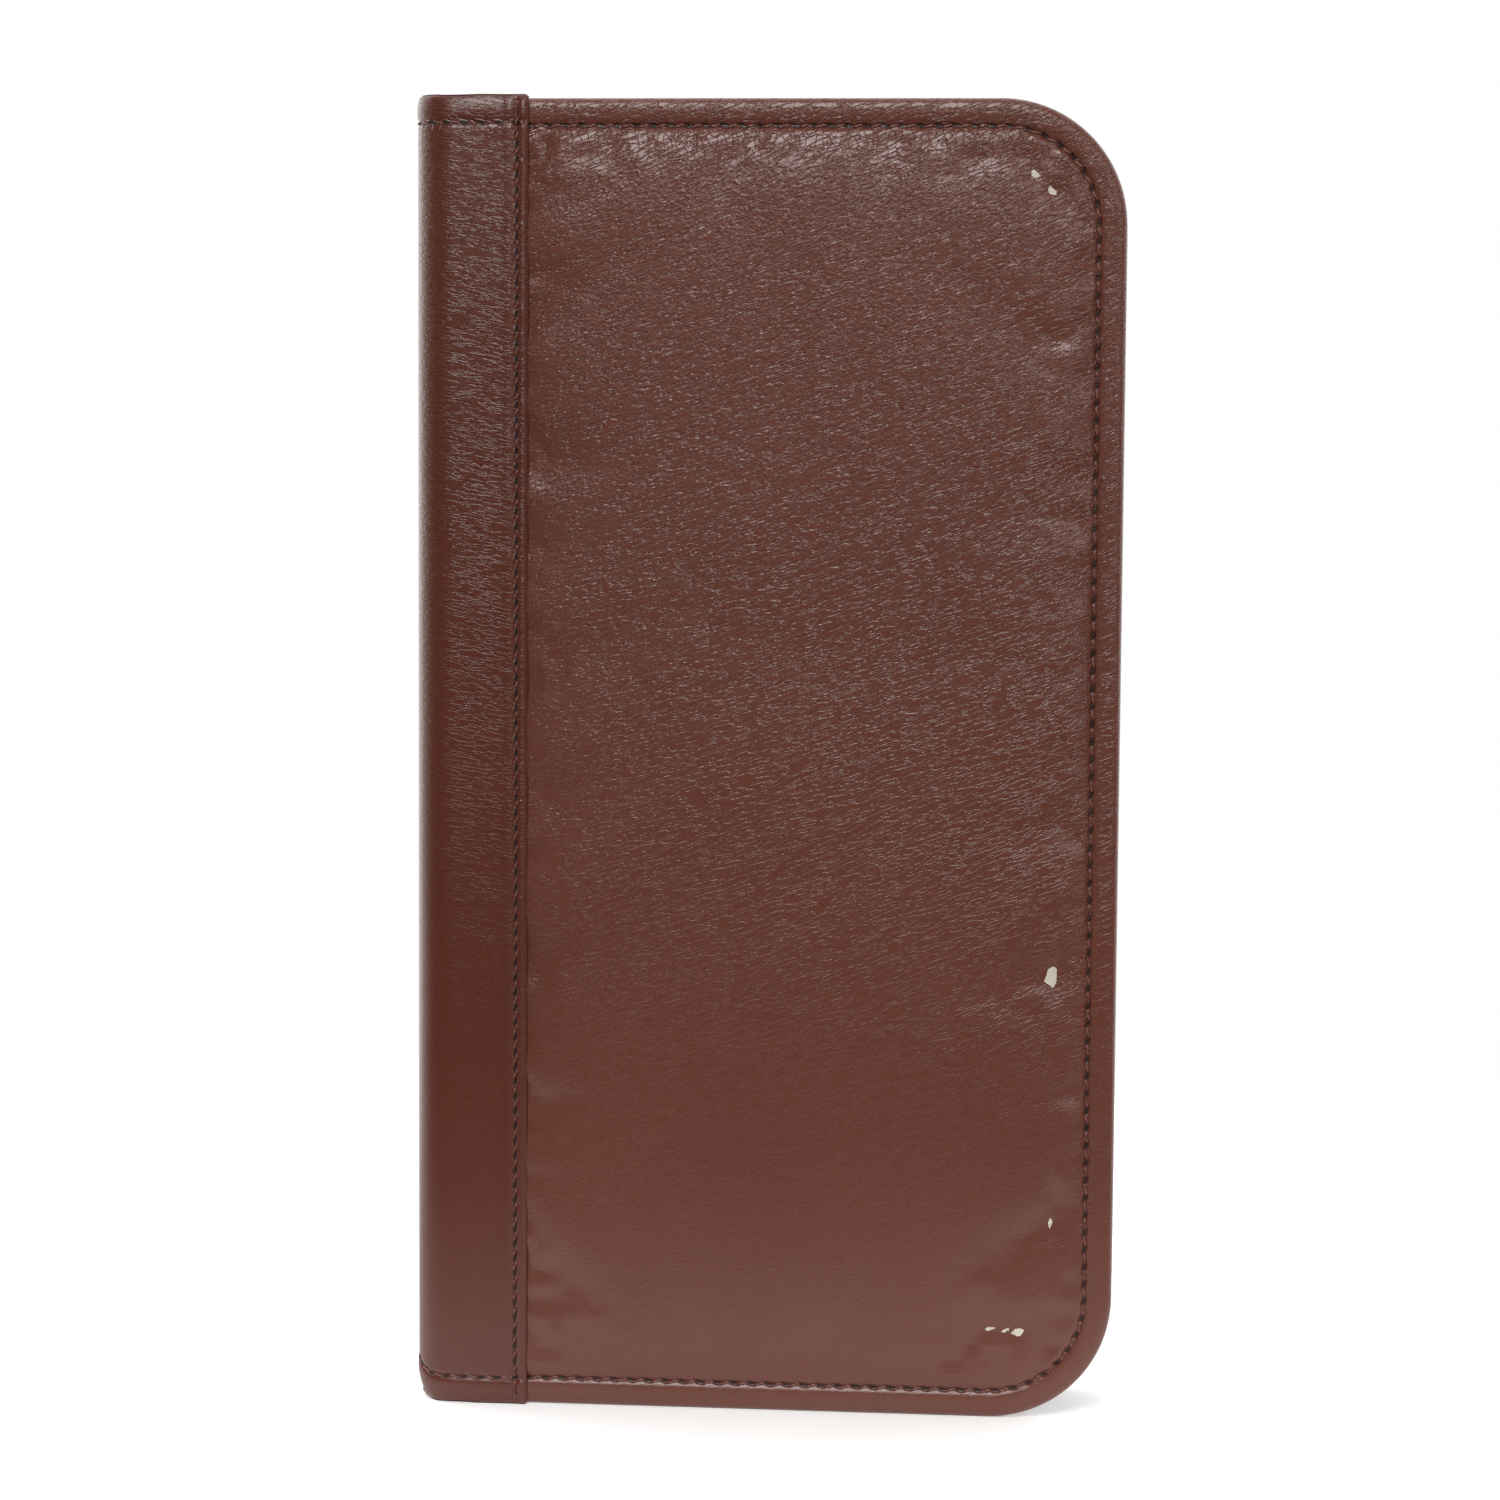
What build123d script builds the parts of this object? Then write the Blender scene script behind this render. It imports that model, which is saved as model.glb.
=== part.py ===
from build123d import *
import os
from math import acos, asin, cos, degrees, radians, sin, sqrt

os.makedirs("parts", exist_ok=True)

# A book-style business card case, closed and standing on its end.
# X runs from the spine (-X) to the fore edge (+X), the front cover faces -Y, Z is up.
# The origin is the middle of the footprint, at the bottom.

# Case
HEIGHT = 248.6
WIDTH = 133.0
COVER_HEIGHT = 248.0            # the covers stop a little short of the spine strip's top
CROWN_LEVEL = 15.0              # padded face of a cover, from the middle plane
STRIP_LEVEL = 14.7              # outer face of the spine strip where it laps a cover
CORNER_RADIUS = 23.5
LEATHER = 1.2
BOARD = 1.4
LINING = 0.5
STITCH_INSET = 5.2
THREAD_WIDTH = 0.5
THREAD_HEIGHT = 0.25

# Spine strip: a wide shoulder each side, then a tighter turn into the flat back
SHOULDER_RADIUS = 9.0
SHOULDER_ANGLE = 53.0
TURN_RADIUS = 2.5
LAP_WIDTH = 21.7                # from the spine's outer face to the lap's folded edge
LAP_SEAM_INSET = 2.3
HINGE_ANGLE = 42.0              # where on the shoulder the leather flexes
HINGE_GAP_ANGLE = 1.2           # half of the gap left at the flex line

# Padding and stiffening of a cover
CROWN_INSET = 6.2
CROWN_SLOPE = 4.8
BOARD_INSET = 6.8
EDGE_ROUND = 0.9

# Pockets inside the covers: left, right, low, high, corner radius, open side
INNER_POCKET = (-42.0, 59.0, 8.0, 150.0, 10.0, "high")
CARD_SLOT = (-37.0, 59.0, 162.0, 232.0, 8.0, "high")
NOTE_POCKET = (-30.0, 59.0, 10.0, 236.0, 10.0, "left")
POCKET_RIM = 3.0                # glued and sewn on the closed sides
POCKET_RISE = 1.1
POCKET_LEATHER = 0.7

# Spine inside
SPINE_BOARD_HALF = 8.4
SPINE_BOARD_INSET = 7.0
SPINE_LINING_HALF = 9.0
SPINE_LINING_INSET = 6.0

# Ring mechanism
RING_RADIUS = 7.6               # middle of the wire
WIRE_RADIUS = 1.2
RING_PITCH = 19.0
RING_MIDDLE_GAP = 70.0          # between the two groups of three rings
RING_TIP_GAP = 0.05
RING_ROOT_REACH = 12.0          # degrees of wire that stand in the leaf
RING_OPEN_ANGLE = 8.0
PLATE_LENGTH = 212.0
PLATE_HALF_WIDTH = 8.0
PLATE_HEIGHT = 4.0
PLATE_LEG = 1.6
STEEL = 0.8
LEAF_HINGE_Y = 7.0
LEAF_MEETING = 0.2              # from the middle plane to a leaf's inner edge
TRIGGER_REACH = 6.6
TRIGGER_WIDTH = 7.0
TRIGGER_THICKNESS = 0.9
TRIGGER_ROUND = 3.0
TRIGGER_PIVOT = 0.75
TRIGGER_ANGLE = 60.0            # from the plate's face
RING_ROOT_Y = 4.9
RIVET_SPACING = 150.0
RIVET_SHANK = 1.5
RIVET_HEAD = 3.0
RIVET_RISE = 1.0

# Card pages
PAGES_PER_SIDE = 4
PAGE_PITCH = 1.3
PAGE_WIDTH = 112.0
PAGE_HEIGHT = 232.0
PAGE_CORNER = 6.0
WEB = 0.4                       # the sheet that carries the pockets
POCKET_FILM = 0.25              # each card pocket's front, on both faces of the web
HOLE_RADIUS = 3.1
HOLE_MARGIN = 5.5
PAGE_POCKETS = 4
PAGE_POCKET_CORNER = 2.0
PAGE_SEAM = 3.0
PAGE_MARGIN = 14.0              # the punched strip beside the pockets
FLAT_PAGE_LOW = -1.3            # lowest page beside the ring centre once the case lies open

# Worked out from the sizes above
SPINE_X = -WIDTH / 2
FORE_X = WIDTH / 2
MID_Z = HEIGHT / 2
BORDER_LEVEL = STRIP_LEVEL - LEATHER
BOARD_LEVEL = BORDER_LEVEL - LEATHER
LINING_LEVEL = BOARD_LEVEL - BOARD
INNER_LEVEL = LINING_LEVEL - LINING
LAP_X = SPINE_X + LAP_WIDTH
SEAM_X = LAP_X - LAP_SEAM_INSET
SHOULDER_Y = SHOULDER_RADIUS - STRIP_LEVEL
TURN_OFFSET = SHOULDER_RADIUS - TURN_RADIUS
SHOULDER_X = SPINE_X + TURN_OFFSET * sin(radians(SHOULDER_ANGLE)) + TURN_RADIUS
TURN_X = SPINE_X + TURN_RADIUS
TURN_Y = SHOULDER_Y - TURN_OFFSET * cos(radians(SHOULDER_ANGLE))
PANEL_LEFT = SHOULDER_X
SPINE_BOARD_X = SPINE_X + LEATHER
SPINE_LINING_X = SPINE_BOARD_X + BOARD
PLATE_X = SPINE_LINING_X + LINING
PLATE_TOP = PLATE_X + PLATE_HEIGHT
RIVET_HEIGHTS = [MID_Z - RIVET_SPACING / 2, MID_Z + RIVET_SPACING / 2]
TRIGGER_X = PLATE_X + 1.1
TRIGGER_Z = MID_Z + PLATE_LENGTH / 2 + 1.2
LEAF_X = PLATE_X + 0.3
LEAF_TOP = LEAF_X + STEEL
LEAF_HINGE_X = LEAF_X + STEEL / 2
RING_X = LEAF_TOP + sqrt(RING_RADIUS**2 - RING_ROOT_Y**2)
RING_GROUP = [RING_MIDDLE_GAP / 2 + RING_PITCH * i for i in range(3)]
RING_HEIGHTS = sorted([MID_Z + step for step in RING_GROUP] + [MID_Z - step for step in RING_GROUP])


def save(shape, name):
    export_step(shape, f"parts/{name}.step")


def as_back(shape):
    """The same piece on the back cover."""
    return mirror(shape, about=Plane.XZ)


def slab(face, near, far):
    """An outline in X and Z, thick from one distance to another in front of the middle plane."""
    return extrude(Plane.XZ.offset(near) * face, far - near)


def block(x_low, x_high, y_low, y_high, z_low, z_high):
    middle = ((x_low + x_high) / 2, (y_low + y_high) / 2, (z_low + z_high) / 2)
    return Pos(*middle) * Box(x_high - x_low, y_high - y_low, z_high - z_low)


def cover_outline(inset, left):
    """A cover's outline: square at the spine, with two large round corners at the fore edge."""
    radius = CORNER_RADIUS - inset
    right = FORE_X - inset
    low = inset
    high = COVER_HEIGHT - inset
    bow = radius * (1 - cos(radians(45)))
    lines = [
        Line((left, low), (right - radius, low)),
        ThreePointArc((right - radius, low), (right - bow, low + bow), (right, low + radius)),
        Line((right, low + radius), (right, high - radius)),
        ThreePointArc((right, high - radius), (right - bow, high - bow), (right - radius, high)),
        Line((right - radius, high), (left, high)),
        Line((left, high), (left, low)),
    ]
    return make_face(Wire(lines))


def shoulder_point(angle, depth):
    """A point on the front shoulder, counted from the cover's face round towards the spine."""
    radius = SHOULDER_RADIUS - depth
    return (SHOULDER_X - radius * sin(radians(angle)), SHOULDER_Y - radius * cos(radians(angle)))


def turn_point(angle, depth):
    radius = TURN_RADIUS - depth
    return (TURN_X - radius * sin(radians(angle)), TURN_Y - radius * cos(radians(angle)))


def arc_between(point, start, end, depth):
    return ThreePointArc(point(start, depth), point((start + end) / 2, depth), point(end, depth))


def spine_path(depth):
    """The strip over the spine, from one flex line to the other, at a depth under its face."""
    start = HINGE_ANGLE + HINGE_GAP_ANGLE
    front = [
        arc_between(shoulder_point, start, SHOULDER_ANGLE, depth),
        arc_between(turn_point, SHOULDER_ANGLE, 90, depth),
    ]
    back = [mirror(edge, about=Plane.XZ).edge() for edge in front]
    face_x, face_y = turn_point(90, depth)
    return front + [Line((face_x, face_y), (face_x, -face_y))] + back


def lap_path(depth):
    """The strip from the front flex line to its folded edge on the cover."""
    level = depth - STRIP_LEVEL
    return [
        arc_between(shoulder_point, HINGE_ANGLE - HINGE_GAP_ANGLE, 0, depth),
        Line((SHOULDER_X, level), (LAP_X, level)),
    ]


def band(path, outer, inner, low, high):
    """A solid between two depths along a path round the spine, from one height to another."""
    outside = path(outer)
    inside = path(inner)
    if path is spine_path:
        end = HINGE_ANGLE + HINGE_GAP_ANGLE
        first = Line(shoulder_point(end, outer), shoulder_point(end, inner))
        last = mirror(first, about=Plane.XZ).edge()
    else:
        end = HINGE_ANGLE - HINGE_GAP_ANGLE
        first = Line(shoulder_point(end, outer), shoulder_point(end, inner))
        last = Line((LAP_X, outer - STRIP_LEVEL), (LAP_X, inner - STRIP_LEVEL))
    face = make_face(Wire(outside + inside + [first, last]))
    return Pos(0, 0, low) * extrude(face, high - low, dir=(0, 0, 1))


def thread_ring(near, far):
    """The perimeter stitching on a cover, open at the spine strip."""
    half = THREAD_WIDTH / 2
    outer = slab(cover_outline(STITCH_INSET - half, LAP_X), near, far)
    inner = slab(cover_outline(STITCH_INSET + half, LAP_X - 1), near, far)
    return outer - inner


# Covers
def cover_leather():
    """A tray with a turned-in border all round and a padded crown inside the stitching."""
    tray = slab(cover_outline(0, PANEL_LEFT), LINING_LEVEL, BORDER_LEVEL)
    front_edges = tray.faces().sort_by(Axis.Y)[0].edges()
    tray = fillet(front_edges.filter_by(lambda edge: edge.center().X > LAP_X), EDGE_ROUND)
    crown = padded_form(0)
    return tray + crown - cover_padding() - cover_board()


def padded_form(depth):
    """The crown, at a depth under its face."""
    shift = depth * 2 / 3
    base_left = LAP_X + 0.5 + shift
    base = cover_outline(CROWN_INSET + shift, base_left)
    top = cover_outline(CROWN_INSET + CROWN_SLOPE + shift, base_left + CROWN_SLOPE)
    planes = [Plane.XZ.offset(BORDER_LEVEL - depth), Plane.XZ.offset(CROWN_LEVEL - depth)]
    return loft([planes[0] * base, planes[1] * top], ruled=True)


def cover_padding():
    return padded_form(LEATHER)


def cover_board():
    return slab(cover_outline(BOARD_INSET, PANEL_LEFT + 1.6), LINING_LEVEL, BOARD_LEVEL)


def cover_lining():
    return slab(cover_outline(0.8, PANEL_LEFT), INNER_LEVEL, LINING_LEVEL)


def cover_stitching():
    """The perimeter thread, the thread down the lap's seam and the thread across the lap's ends."""
    ring = thread_ring(BORDER_LEVEL, BORDER_LEVEL + THREAD_HEIGHT)
    half = THREAD_WIDTH / 2
    rows = [STITCH_INSET, HEIGHT - STITCH_INSET]
    ends = [band(lap_path, -THREAD_HEIGHT, 0, z - half, z + half) for z in rows]
    seam = block(SEAM_X - half, SEAM_X + half, -STRIP_LEVEL - THREAD_HEIGHT, -STRIP_LEVEL,
                 rows[0] + 1, rows[1] - 1)
    return Compound(children=[ring, seam] + ends)


def inner_pocket(left, right, low, high, corner, open_side):
    """A flat pocket on a cover's lining, open on one side."""
    face = Pos((left + right) / 2, (low + high) / 2) * RectangleRounded(right - left, high - low, corner)
    pocket = slab(face, INNER_LEVEL - POCKET_RISE, INNER_LEVEL)
    rim = POCKET_RIM
    edges = {"left": left + rim, "right": right - rim, "low": low + rim, "high": high - rim}
    edges[open_side] = {"left": left - 1, "right": right + 1, "low": low - 1, "high": high + 1}[open_side]
    space = block(edges["left"], edges["right"], -INNER_LEVEL - 1, -INNER_LEVEL + POCKET_RISE - POCKET_LEATHER,
                  edges["low"], edges["high"])
    return pocket - space


def strip_lap():
    return band(lap_path, 0, LEATHER, 0, HEIGHT)


# Spine
def spine_board():
    half = SPINE_BOARD_HALF
    low = SPINE_BOARD_INSET
    return block(SPINE_BOARD_X, SPINE_LINING_X, -half, half, low, HEIGHT - low) - rivet_holes()


def spine_lining():
    half = SPINE_LINING_HALF
    low = SPINE_LINING_INSET
    return block(SPINE_LINING_X, PLATE_X, -half, half, low, HEIGHT - low) - rivet_holes()


def spine_stitching():
    half = THREAD_WIDTH / 2
    rows = [STITCH_INSET, HEIGHT - STITCH_INSET]
    bands = [band(spine_path, -THREAD_HEIGHT, 0, z - half, z + half) for z in rows]
    return Compound(children=bands)


# Ring mechanism
def rivet_holes():
    """The two holes that the mechanism's rivets pass through."""
    return [Pos(PLATE_X, 0, z) * Rot(0, 90, 0) * Cylinder(RIVET_SHANK, 12) for z in RIVET_HEIGHTS]


def ring_plate():
    """An arched steel cover with straight legs, notched where the rings come through."""
    leg = PLATE_X + PLATE_LEG
    half = PLATE_HALF_WIDTH
    inside = half - STEEL
    lines = [
        Line((PLATE_X, -half), (leg, -half)),
        ThreePointArc((leg, -half), (PLATE_TOP, 0), (leg, half)),
        Line((leg, half), (PLATE_X, half)),
        Line((PLATE_X, half), (PLATE_X, inside)),
        Line((PLATE_X, inside), (leg - 0.3, inside)),
        ThreePointArc((leg - 0.3, inside), (PLATE_TOP - STEEL, 0), (leg - 0.3, -inside)),
        Line((leg - 0.3, -inside), (PLATE_X, -inside)),
        Line((PLATE_X, -inside), (PLATE_X, -half)),
    ]
    low = MID_Z - PLATE_LENGTH / 2
    plate = Pos(0, 0, low) * extrude(make_face(Wire(lines)), PLATE_LENGTH, dir=(0, 0, 1))
    notch = WIRE_RADIUS + 0.5
    for z in RING_HEIGHTS:
        for side in (-1, 1):
            y_edges = sorted((side * (RING_ROOT_Y - 1.4), side * (half + 1)))
            plate -= block(LEAF_TOP, PLATE_TOP + 1, *y_edges, z - notch, z + notch)
    return plate - rivet_holes()


def ring_rivets():
    """Button-headed rivets through the plate, the lining and the spine board."""
    rivets = []
    shank_length = PLATE_TOP - SPINE_BOARD_X
    for z in RIVET_HEIGHTS:
        head = Cylinder(RIVET_HEAD, RIVET_RISE)
        head = fillet(head.edges().group_by(Axis.Z)[-1], RIVET_RISE * 0.6)
        shank = Cylinder(RIVET_SHANK, shank_length)
        rivet = Pos(0, 0, RIVET_RISE / 2) * head + Pos(0, 0, -shank_length / 2) * shank
        rivets.append(Pos(PLATE_TOP, 0, z) * Rot(0, 90, 0) * rivet)
    return Compound(children=rivets)


def ring_leaf():
    """The front leaf under the plate, which carries the front half rings."""
    low = MID_Z - PLATE_LENGTH / 2 + 1
    leaf = block(LEAF_X, LEAF_TOP, -LEAF_HINGE_Y, -LEAF_MEETING, low, HEIGHT - low)
    room = RIVET_SHANK + 1.0
    for z in RIVET_HEIGHTS:
        leaf -= Pos(LEAF_X, 0, z) * Rot(0, 90, 0) * Cylinder(room, 6)
    return leaf


def half_rings():
    """The front half of every ring, from the leaf round to the meeting line."""
    halves = []
    tip = degrees(asin(RING_TIP_GAP / RING_RADIUS))
    root = 180 + degrees(acos((RING_X - LEAF_TOP) / RING_RADIUS)) - RING_ROOT_REACH
    for z in RING_HEIGHTS:
        section = Plane(origin=(RING_X, 0, z), x_dir=(cos(radians(root)), sin(radians(root)), 0),
                        z_dir=(sin(radians(root)), -cos(radians(root)), 0))
        wire = section * Pos(RING_RADIUS, 0) * Circle(WIRE_RADIUS)
        ring = revolve(wire, axis=Axis((RING_X, 0, z), (0, 0, 1)), revolution_arc=360 - tip - root)
        halves.append(ring & block(LEAF_TOP, LEAF_TOP + 20, -15, 0, z - 3, z + 3))
    return Compound(children=halves)


def ring_trigger():
    """The upper opening lever: a tab on a pivot just past the end of the plate."""
    lever = Box(TRIGGER_REACH, TRIGGER_WIDTH, TRIGGER_THICKNESS)
    lever = fillet(lever.edges().filter_by(Axis.Z).group_by(Axis.X)[-1], TRIGGER_ROUND)
    pivot = Rot(90, 0, 0) * Cylinder(TRIGGER_PIVOT, TRIGGER_WIDTH)
    placed = Pos(TRIGGER_X, 0, TRIGGER_Z) * Rot(0, -TRIGGER_ANGLE, 0)
    return placed * (Pos(TRIGGER_REACH / 2, 0, 0) * lever + pivot)


# Card pages
def page_offset(index):
    """How far a front page lies in front of the middle plane, index 0 being the outermost."""
    return PAGE_PITCH * (PAGES_PER_SIDE - 0.5 - index)


def page_hole_x(index):
    return RING_X + sqrt(RING_RADIUS**2 - page_offset(index)**2)


def page_axis(index):
    """The point that a front page turns a quarter about, so that its holes stay on the rings."""
    start = (page_hole_x(index) - RING_X, -page_offset(index))
    flat_x = FLAT_PAGE_LOW + PAGE_PITCH * index
    end = (flat_x, -sqrt(RING_RADIUS**2 - flat_x**2))
    x = (end[0] + end[1] + start[0] - start[1]) / 2
    y = (end[1] - end[0] + start[0] + start[1]) / 2
    return (RING_X + x, y)


def card_page(index):
    """A clear page: one web with a column of card pockets on each face and a punched margin."""
    offset = page_offset(index)
    left = page_hole_x(index) - HOLE_MARGIN
    web_face = Pos(left + PAGE_WIDTH / 2, MID_Z) * RectangleRounded(PAGE_WIDTH, PAGE_HEIGHT, PAGE_CORNER)
    page = slab(web_face, offset - WEB / 2, offset + WEB / 2)
    for z in RING_HEIGHTS:
        page -= Pos(page_hole_x(index), -offset, z) * Rot(90, 0, 0) * Cylinder(HOLE_RADIUS, 3)
    pocket_left = left + PAGE_MARGIN
    pocket_width = PAGE_WIDTH - PAGE_MARGIN - PAGE_SEAM
    step = (PAGE_HEIGHT - PAGE_SEAM) / PAGE_POCKETS
    low = MID_Z - PAGE_HEIGHT / 2 + PAGE_SEAM
    for row in range(PAGE_POCKETS):
        centre_z = low + step * row + (step - PAGE_SEAM) / 2
        front = Pos(pocket_left + pocket_width / 2, centre_z)
        face = front * RectangleRounded(pocket_width, step - PAGE_SEAM, PAGE_POCKET_CORNER)
        reach = WEB / 2 + POCKET_FILM
        page += slab(face, offset - reach, offset + reach)
    return page


def build():
    pairs = {
        "cover_leather": cover_leather(),
        "padding": cover_padding(),
        "board": cover_board(),
        "lining": cover_lining(),
        "stitching": cover_stitching(),
        "strip_lap": strip_lap(),
        "ring_leaf": ring_leaf(),
        "half_rings": half_rings(),
    }
    for name, shape in pairs.items():
        save(shape, f"front_{name}")
        save(as_back(shape), f"back_{name}")

    save(inner_pocket(*INNER_POCKET), "front_inner_pocket")
    save(inner_pocket(*CARD_SLOT), "front_card_slot")
    save(as_back(inner_pocket(*NOTE_POCKET)), "back_note_pocket")

    save(band(spine_path, 0, LEATHER, 0, HEIGHT), "spine_strip")
    save(spine_board(), "spine_board")
    save(spine_lining(), "spine_lining")
    save(spine_stitching(), "spine_stitching")
    save(ring_plate(), "ring_plate")
    save(ring_rivets(), "ring_rivets")
    trigger = ring_trigger()
    save(trigger, "top_ring_trigger")
    save(mirror(trigger, about=Plane.XY.offset(MID_Z)), "bottom_ring_trigger")

    for index in range(PAGES_PER_SIDE):
        page = card_page(index)
        save(page, f"card_page_{index + 1}")
        save(as_back(page), f"card_page_{2 * PAGES_PER_SIDE - index}")


if __name__ == "__main__":
    build()
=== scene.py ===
import math
import random

import bmesh
import bpy
import numpy as np
from mathutils import Matrix, Vector


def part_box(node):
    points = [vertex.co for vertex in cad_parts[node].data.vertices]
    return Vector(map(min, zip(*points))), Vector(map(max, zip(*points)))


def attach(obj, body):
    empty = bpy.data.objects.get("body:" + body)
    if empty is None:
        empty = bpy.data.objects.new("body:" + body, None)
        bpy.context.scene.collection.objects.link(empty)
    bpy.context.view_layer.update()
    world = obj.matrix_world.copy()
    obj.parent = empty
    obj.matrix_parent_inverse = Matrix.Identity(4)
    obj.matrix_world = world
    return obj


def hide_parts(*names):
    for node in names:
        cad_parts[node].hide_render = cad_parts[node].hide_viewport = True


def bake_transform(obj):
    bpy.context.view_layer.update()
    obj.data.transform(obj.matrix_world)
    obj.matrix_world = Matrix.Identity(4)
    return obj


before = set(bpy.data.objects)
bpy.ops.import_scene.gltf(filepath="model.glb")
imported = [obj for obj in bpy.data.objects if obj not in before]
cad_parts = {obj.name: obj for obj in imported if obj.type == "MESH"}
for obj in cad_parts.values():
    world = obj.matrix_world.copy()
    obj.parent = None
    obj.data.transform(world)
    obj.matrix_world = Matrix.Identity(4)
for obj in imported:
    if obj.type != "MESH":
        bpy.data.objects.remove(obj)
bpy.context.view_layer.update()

# A leather case for business cards: padded covers, a wrapped spine strip, six rings and clear pages.
# The frame is in metres. Sizes here are in millimetres and become metres where a mesh is placed.
mm = 0.001


def boxMm(node):
    low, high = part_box(node)
    return [v / mm for v in low], [v / mm for v in high]


coverLow, coverHigh = boxMm("front_cover_leather")
lapLow, lapHigh = boxMm("front_strip_lap")
liningLow, liningHigh = boxMm("front_lining")
spineLow, spineHigh = boxMm("spine_strip")

case = {
    "height": lapHigh[2],
    "foreEdge": coverHigh[0],
    "panelLeft": coverLow[0],
    "coverTop": coverHigh[2],
    "spineFace": spineLow[0],
    "lapEdge": lapHigh[0],
    "stripLevel": -lapLow[1],  # levels are distances from the middle plane
    "leather": 1.2,
    "backLevel": -liningLow[1],
    "innerLevel": -liningHigh[1],
}
case["borderLevel"] = case["stripLevel"] - case["leather"]

panel = {
    "cornerRadius": 23.5,
    "hem": 4.0,
    "stitchInset": 5.2,
    "stitches": 131,
    "crown": 2.0,
    "seamSlope": 0.45,  # how steeply the padding rises from the stitching
    "grooveDepth": 0.32,
    "grooveWidth": 0.6,
    "borderBulge": 0.22,
    "fineCell": 0.45,
    "coarseCell": 1.15,
    "fineWidth": 15.0,
}
panel["edgeRadius"] = (case["borderLevel"] - case["backLevel"]) / 2

strip = {
    "shoulderRadius": 9.0,
    "shoulderAngle": math.radians(53),
    "turnRadius": 2.5,
    "seamInset": 2.3,  # from the folded edge to the seam
    "seamPitch": 2.85,
    "endPitch": 3.3,
    "ridge": 0.3,
    "grooveDepth": 0.38,
    "grooveWidth": 0.5,
    "endRound": 0.55,
    "cornerRise": 4.6,  # the lower end curves up towards the spine
    "riseReach": 60.0,
    "endLump": 0.16,
}
strip["seamX"] = case["lapEdge"] - strip["seamInset"]
strip["shoulderX"] = (
    case["spineFace"] + strip["turnRadius"]
    + (strip["shoulderRadius"] - strip["turnRadius"]) * math.sin(strip["shoulderAngle"])
)
strip["shoulderReach"] = case["stripLevel"] - strip["shoulderRadius"]
strip["turnReach"] = strip["shoulderReach"] + (
    strip["shoulderRadius"] - strip["turnRadius"]) * math.cos(strip["shoulderAngle"])

sideOf = {"front": -1, "back": 1}


# ---- small helpers
def toLinear(hexColour):
    values = [int(hexColour[i:i + 2], 16) / 255 for i in (1, 3, 5)]
    return [v / 12.92 if v <= 0.04045 else ((v + 0.055) / 1.055) ** 2.4 for v in values] + [1]


def addNode(tree, kind, settings=None, inputs=None):
    node = tree.nodes.new(kind)
    for name, value in (settings or {}).items():
        setattr(node, name, value)
    for socket, value in (inputs or {}).items():
        if isinstance(value, bpy.types.NodeSocket):
            tree.links.new(value, node.inputs[socket])
        else:
            node.inputs[socket].default_value = value
    return node


def newMaterial(name):
    material = bpy.data.materials.new(name)
    material.use_nodes = True
    material.node_tree.nodes.clear()
    return material, material.node_tree


def finishShader(tree, inputs):
    shader = addNode(tree, "ShaderNodeBsdfPrincipled", None, inputs)
    addNode(tree, "ShaderNodeOutputMaterial", None, {"Surface": shader.outputs["BSDF"]})
    return shader


def addPiece(name, bm, material, body=None, replaced=(), sharpAngle=40):
    mesh = bpy.data.meshes.new(name)
    bm.to_mesh(mesh)
    bm.free()
    mesh.shade_smooth()
    mesh.set_sharp_from_angle(angle=math.radians(sharpAngle))
    piece = bpy.data.objects.new(name, mesh)
    bpy.context.scene.collection.objects.link(piece)
    mesh.materials.append(material)
    if body:
        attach(piece, body)
    if replaced:
        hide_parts(*replaced)
    return piece


def smooth(low, high, value):
    share = np.clip((value - low) / (high - low), 0, 1)
    return share * share * (3 - 2 * share)


def ripple(along, waves, seed):
    # a sum of a few uneven waves, from -1 to 1
    draw = random.Random(seed)
    total = np.zeros_like(along)
    for length, share in waves:
        total += share * np.sin(2 * math.pi * along / length + draw.uniform(0, 2 * math.pi))
    return total


def gridBmesh(columns, rows):
    # a grid with one vertex for each column and row, and the table of its vertices
    bm = bmesh.new()
    bmesh.ops.create_grid(bm, x_segments=len(columns) - 1, y_segments=len(rows) - 1, size=1)
    bm.verts.ensure_lookup_table()
    table = {}
    for vert in bm.verts:
        i = round((vert.co.x + 1) / 2 * (len(columns) - 1))
        j = round((vert.co.y + 1) / 2 * (len(rows) - 1))
        table[i, j] = vert
    return bm, table


def stops(low, high, fineLow, fineHigh, fine, coarse):
    # positions from low to high, fine for a length at each end and coarse between
    parts = []
    for start, end, cell in ((low, low + fineLow, fine), (low + fineLow, high - fineHigh, coarse),
                             (high - fineHigh, high, fine)):
        if end - start > 1e-6:
            parts.append(np.linspace(start, end, max(2, round((end - start) / cell) + 1))[:-1])
    return np.concatenate(parts + [np.array([high])])


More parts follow.
